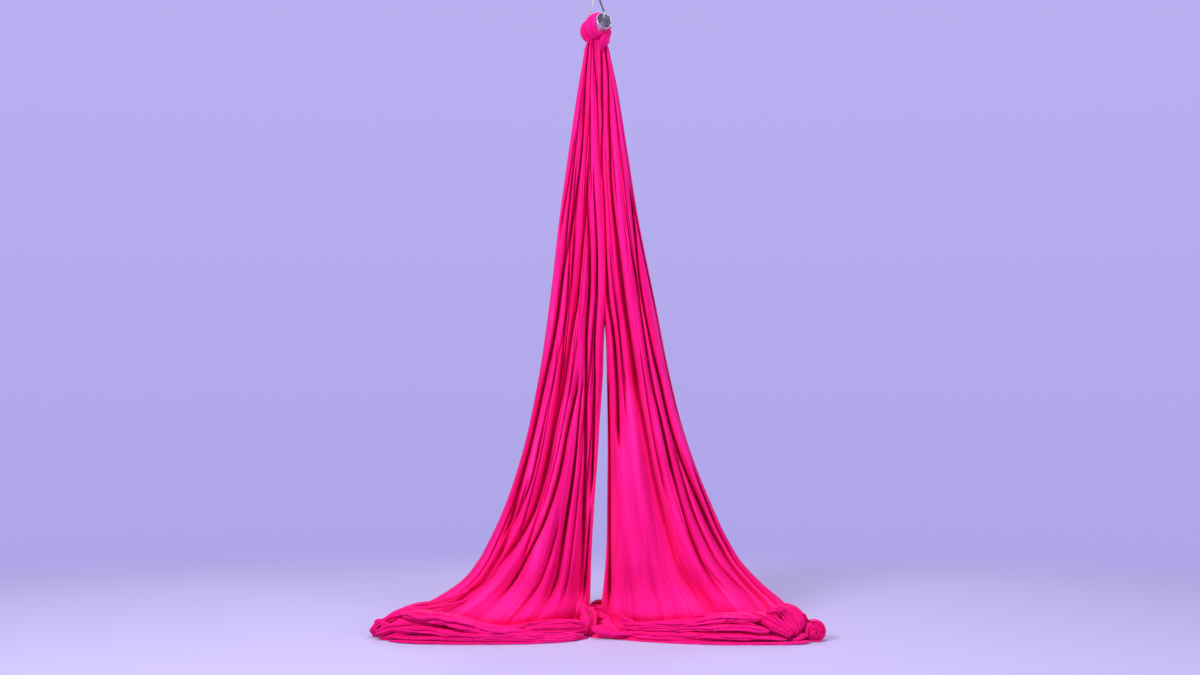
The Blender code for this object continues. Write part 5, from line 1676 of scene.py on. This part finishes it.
        add(tree, "NodeGroupOutput", links={"Geometry": dressed.outputs["Geometry"]})
        return tree

    def build(self, finish: bpy.types.Material) -> None:
        """Lays the rope.

        Args:
            finish: the strands' material.
        """
        curve = bpy.data.curves.new("rope_route", "CURVE")
        curve.dimensions = "3D"
        spline = curve.splines.new("POLY")
        route = self.route()
        spline.points.add(len(route) - 1)
        for point, place in zip(spline.points, route):
            point.co = (*place, 1)
        source = bpy.data.objects.new("rope_route", curve)
        bpy.context.scene.collection.objects.link(source)
        tree = self.tree(finish)
        modifier = source.modifiers.new("laid_rope", "NODES")
        modifier.node_group = tree
        values = {"Step": self.step, "Lay": self.lay, "Strand Radius": self.radius / 3, "Strands": self.strands}
        for socket in tree.interface.items_tree:
            if socket.in_out == "INPUT" and socket.name in values:
                modifier[socket.identifier] = values[socket.name]
        bpy.context.view_layer.update()
        done = source.evaluated_get(bpy.context.evaluated_depsgraph_get())
        mesh = bpy.data.meshes.new_from_object(done)
        bpy.data.objects.remove(source)
        mesh.shade_smooth()
        rope = piece("wire_rope", mesh, finish)
        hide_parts("wire_sling")
        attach(rope, "sling")


@dataclass(frozen=True)
class SoftBox:
    """A square soft box."""

    name: str
    place: tuple[float, float, float]
    size: float
    watts: float
    colour: str = "#FFFFFF"

    def build(self, aim: Vector) -> None:
        """Stands it in its place.

        Args:
            aim: what it points at.
        """
        data = bpy.data.lights.new(self.name, "AREA")
        data.shape = "SQUARE"
        data.size = self.size
        data.energy = self.watts
        data.color = linear(self.colour)[:3]
        lamp = bpy.data.objects.new(self.name, data)
        lamp.location = self.place
        lamp.rotation_euler = (aim - Vector(self.place)).to_track_quat("-Z", "Y").to_euler()
        bpy.context.scene.collection.objects.link(lamp)


@dataclass
class Studio:
    """A paper floor in lit air, soft lights and the camera of the photograph."""

    half_width: float = 7.0
    half_depth: float = 3.0
    middle: tuple[float, float, float] = (0, 0, -1.9)
    boxes: tuple[SoftBox, ...] = (
        SoftBox("key_box", (-3.3, -4.8, 1.3), 2.2, 312),
        SoftBox("fill_box", (4.2, -4.6, -0.6), 2.4, 112),
        SoftBox("back_box", (1.2, 5.0, 2.6), 2.4, 85),
        SoftBox("top_box", (0, -0.6, 2.8), 2.4, 120),
    )

    def paper(self, finish: bpy.types.Material) -> None:
        """Lays the floor.

        Args:
            finish: its material.
        """
        sides = (-self.half_width, self.half_width)
        corners = [[(x, y, 0.0) for x in sides] for y in (-self.half_depth, self.half_depth)]
        sheet = piece("studio_paper", grid_mesh("studio_paper", np.array(corners)), finish)
        sheet.location.z = FLOOR_Z
        if sheet.data.polygons[0].normal.z < 0:
            sheet.data.flip_normals()

    def build(self) -> None:
        """Sets the paper, the lights, the air's own light and the camera."""
        self.paper(Paper().build())
        for box in self.boxes:
            box.build(Vector(self.middle))
        bpy.context.scene.world = Air().build()
        # The dye is far more saturated than the default view can show, so colours are shown as they are.
        bpy.context.scene.view_settings.view_transform = "Standard"
        data = bpy.data.cameras.new("photo_camera")
        data.sensor_width = SENSOR
        data.lens = LENS
        camera = bpy.data.objects.new("photo_camera", data)
        camera.location = CAMERA_PLACE
        camera.rotation_euler = (math.pi / 2, 0, 0)
        bpy.context.scene.collection.objects.link(camera)
        bpy.context.scene.camera = camera


# How far out each tail reaches, by drop; where it sags onto its heap; and the heap's height and front edge.
LEFT_OUTER = (
    (0.000, 0.036), (0.010, 0.045), (0.034, 0.055), (0.068, 0.071), (0.171, 0.112), (0.308, 0.162),
    (0.444, 0.203), (0.581, 0.256), (0.718, 0.337), (0.786, 0.396), (0.855, 0.477), (0.889, 0.527),
    (0.923, 0.606), (0.957, 0.760), (0.972, 0.845), (0.986, 0.90),
)

LEFT_SWAG = ((0.03, 0.979), (0.19, 0.977), (0.345, 0.982), (0.44, 0.984), (0.63, 0.977), (0.80, 0.959))

LEFT_HEIGHT = (
    (0.0, 0.052), (0.07, 0.058), (0.2, 0.050), (0.35, 0.040), (0.46, 0.036), (0.56, 0.050), (0.67, 0.082),
    (0.77, 0.108), (0.86, 0.106), (0.93, 0.092), (1.0, 0.080),
)

LEFT_FRONT = ((0.0, -0.29), (0.25, -0.385), (0.36, -0.41), (0.72, -0.41), (0.90, -0.36), (1.0, -0.32))

RIGHT_OUTER = (
    (0.000, 0.046), (0.010, 0.058), (0.034, 0.074), (0.068, 0.094), (0.171, 0.139), (0.308, 0.197),
    (0.444, 0.269), (0.581, 0.341), (0.650, 0.386), (0.718, 0.444), (0.786, 0.516), (0.855, 0.601),
    (0.889, 0.656), (0.923, 0.742), (0.957, 0.848), (0.972, 0.880), (0.986, 0.90),
)

RIGHT_SWAG = ((0.08, 0.979), (0.21, 0.981), (0.43, 0.975), (0.61, 0.969), (0.78, 0.960))

RIGHT_HEIGHT = (
    (0.0, 0.072), (0.05, 0.068), (0.12, 0.054), (0.24, 0.044), (0.4, 0.046), (0.6, 0.066), (0.72, 0.086),
    (0.82, 0.098), (0.88, 0.098), (0.94, 0.088), (1.0, 0.076),
)

RIGHT_FRONT = (
    (0.0, -0.27), (0.12, -0.34), (0.3, -0.40), (0.5, -0.42), (0.74, -0.425), (0.90, -0.40), (1.0, -0.36),
)


def dress_nodes(finishes: dict[str, bpy.types.Material], frame: dict) -> None:
    """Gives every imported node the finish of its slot.

    Args:
        finishes: a material for each slot.
    """
    slots = {row["node"]: row["material_slot"] for row in frame["record"]["subparts"]}
    for name, obj in frame["nodes"].items():
        for slot in obj.material_slots:
            slot.material = finishes[slots[name]]


def main(frame: dict) -> None:
    """Builds everything.
    """
    logging.basicConfig(level=logging.INFO, format="%(message)s")
    Studio().build()
    cloth = Tricot().build()
    finishes = {
        "plate_paint": PowderCoat().build(),
        "bright_steel": Steel("zinc_plated_steel", "#DEDFE1", "#BFC0C3", 0.42).build(),
        "dark_steel": Steel("blackened_steel", "#4A4A4E", "#333338", 0.36).build(),
        "bronze": Steel("turned_bronze", "#B98A4A", "#9A6E36", 0.34, 0.8, (1, 1, 8)).build(),
        # The rope's +X leg is darkened: partly oil, partly painted shade.
        "wire_steel": Steel("galvanised_strand", "#E8E2D4", "#C8C2B4", 0.42, oiled_and_shaded="#5A524A").build(),
        "silk": cloth,
    }
    dress_nodes(finishes, frame)
    Sling().build(finishes["wire_steel"])
    Tail(Side.LEFT, LEFT_OUTER, LEFT_CREASES, 11, fold_gain=1.27, small=24, swag=LEFT_SWAG).build(cloth)
    Tail(
        Side.RIGHT, RIGHT_OUTER, RIGHT_CREASES, 12, fuller=0.17, small=15, bare=(0.52, 0.06, 0.47),
        swag=RIGHT_SWAG,
    ).build(cloth)
    Hitch().build(cloth)
    Pool(Side.LEFT, LEFT_HEIGHT, LEFT_FRONT, 0.945, LEFT_POOL_FOLDS, 31, slit_x=12 * MM).build(cloth)
    rosette = Roll(seen(811, 629, -0.31), (0.10, -0.99, 0.04), 46 * MM, 3.2, 95 * MM, 52, 1.2)
    Pool(
        Side.RIGHT, RIGHT_HEIGHT, RIGHT_FRONT, 0.935, RIGHT_POOL_FOLDS, 32, slit_x=-10 * MM, rolls=(rosette,),
    ).build(cloth)


if __name__ == "__main__":
    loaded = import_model()
    main(loaded)
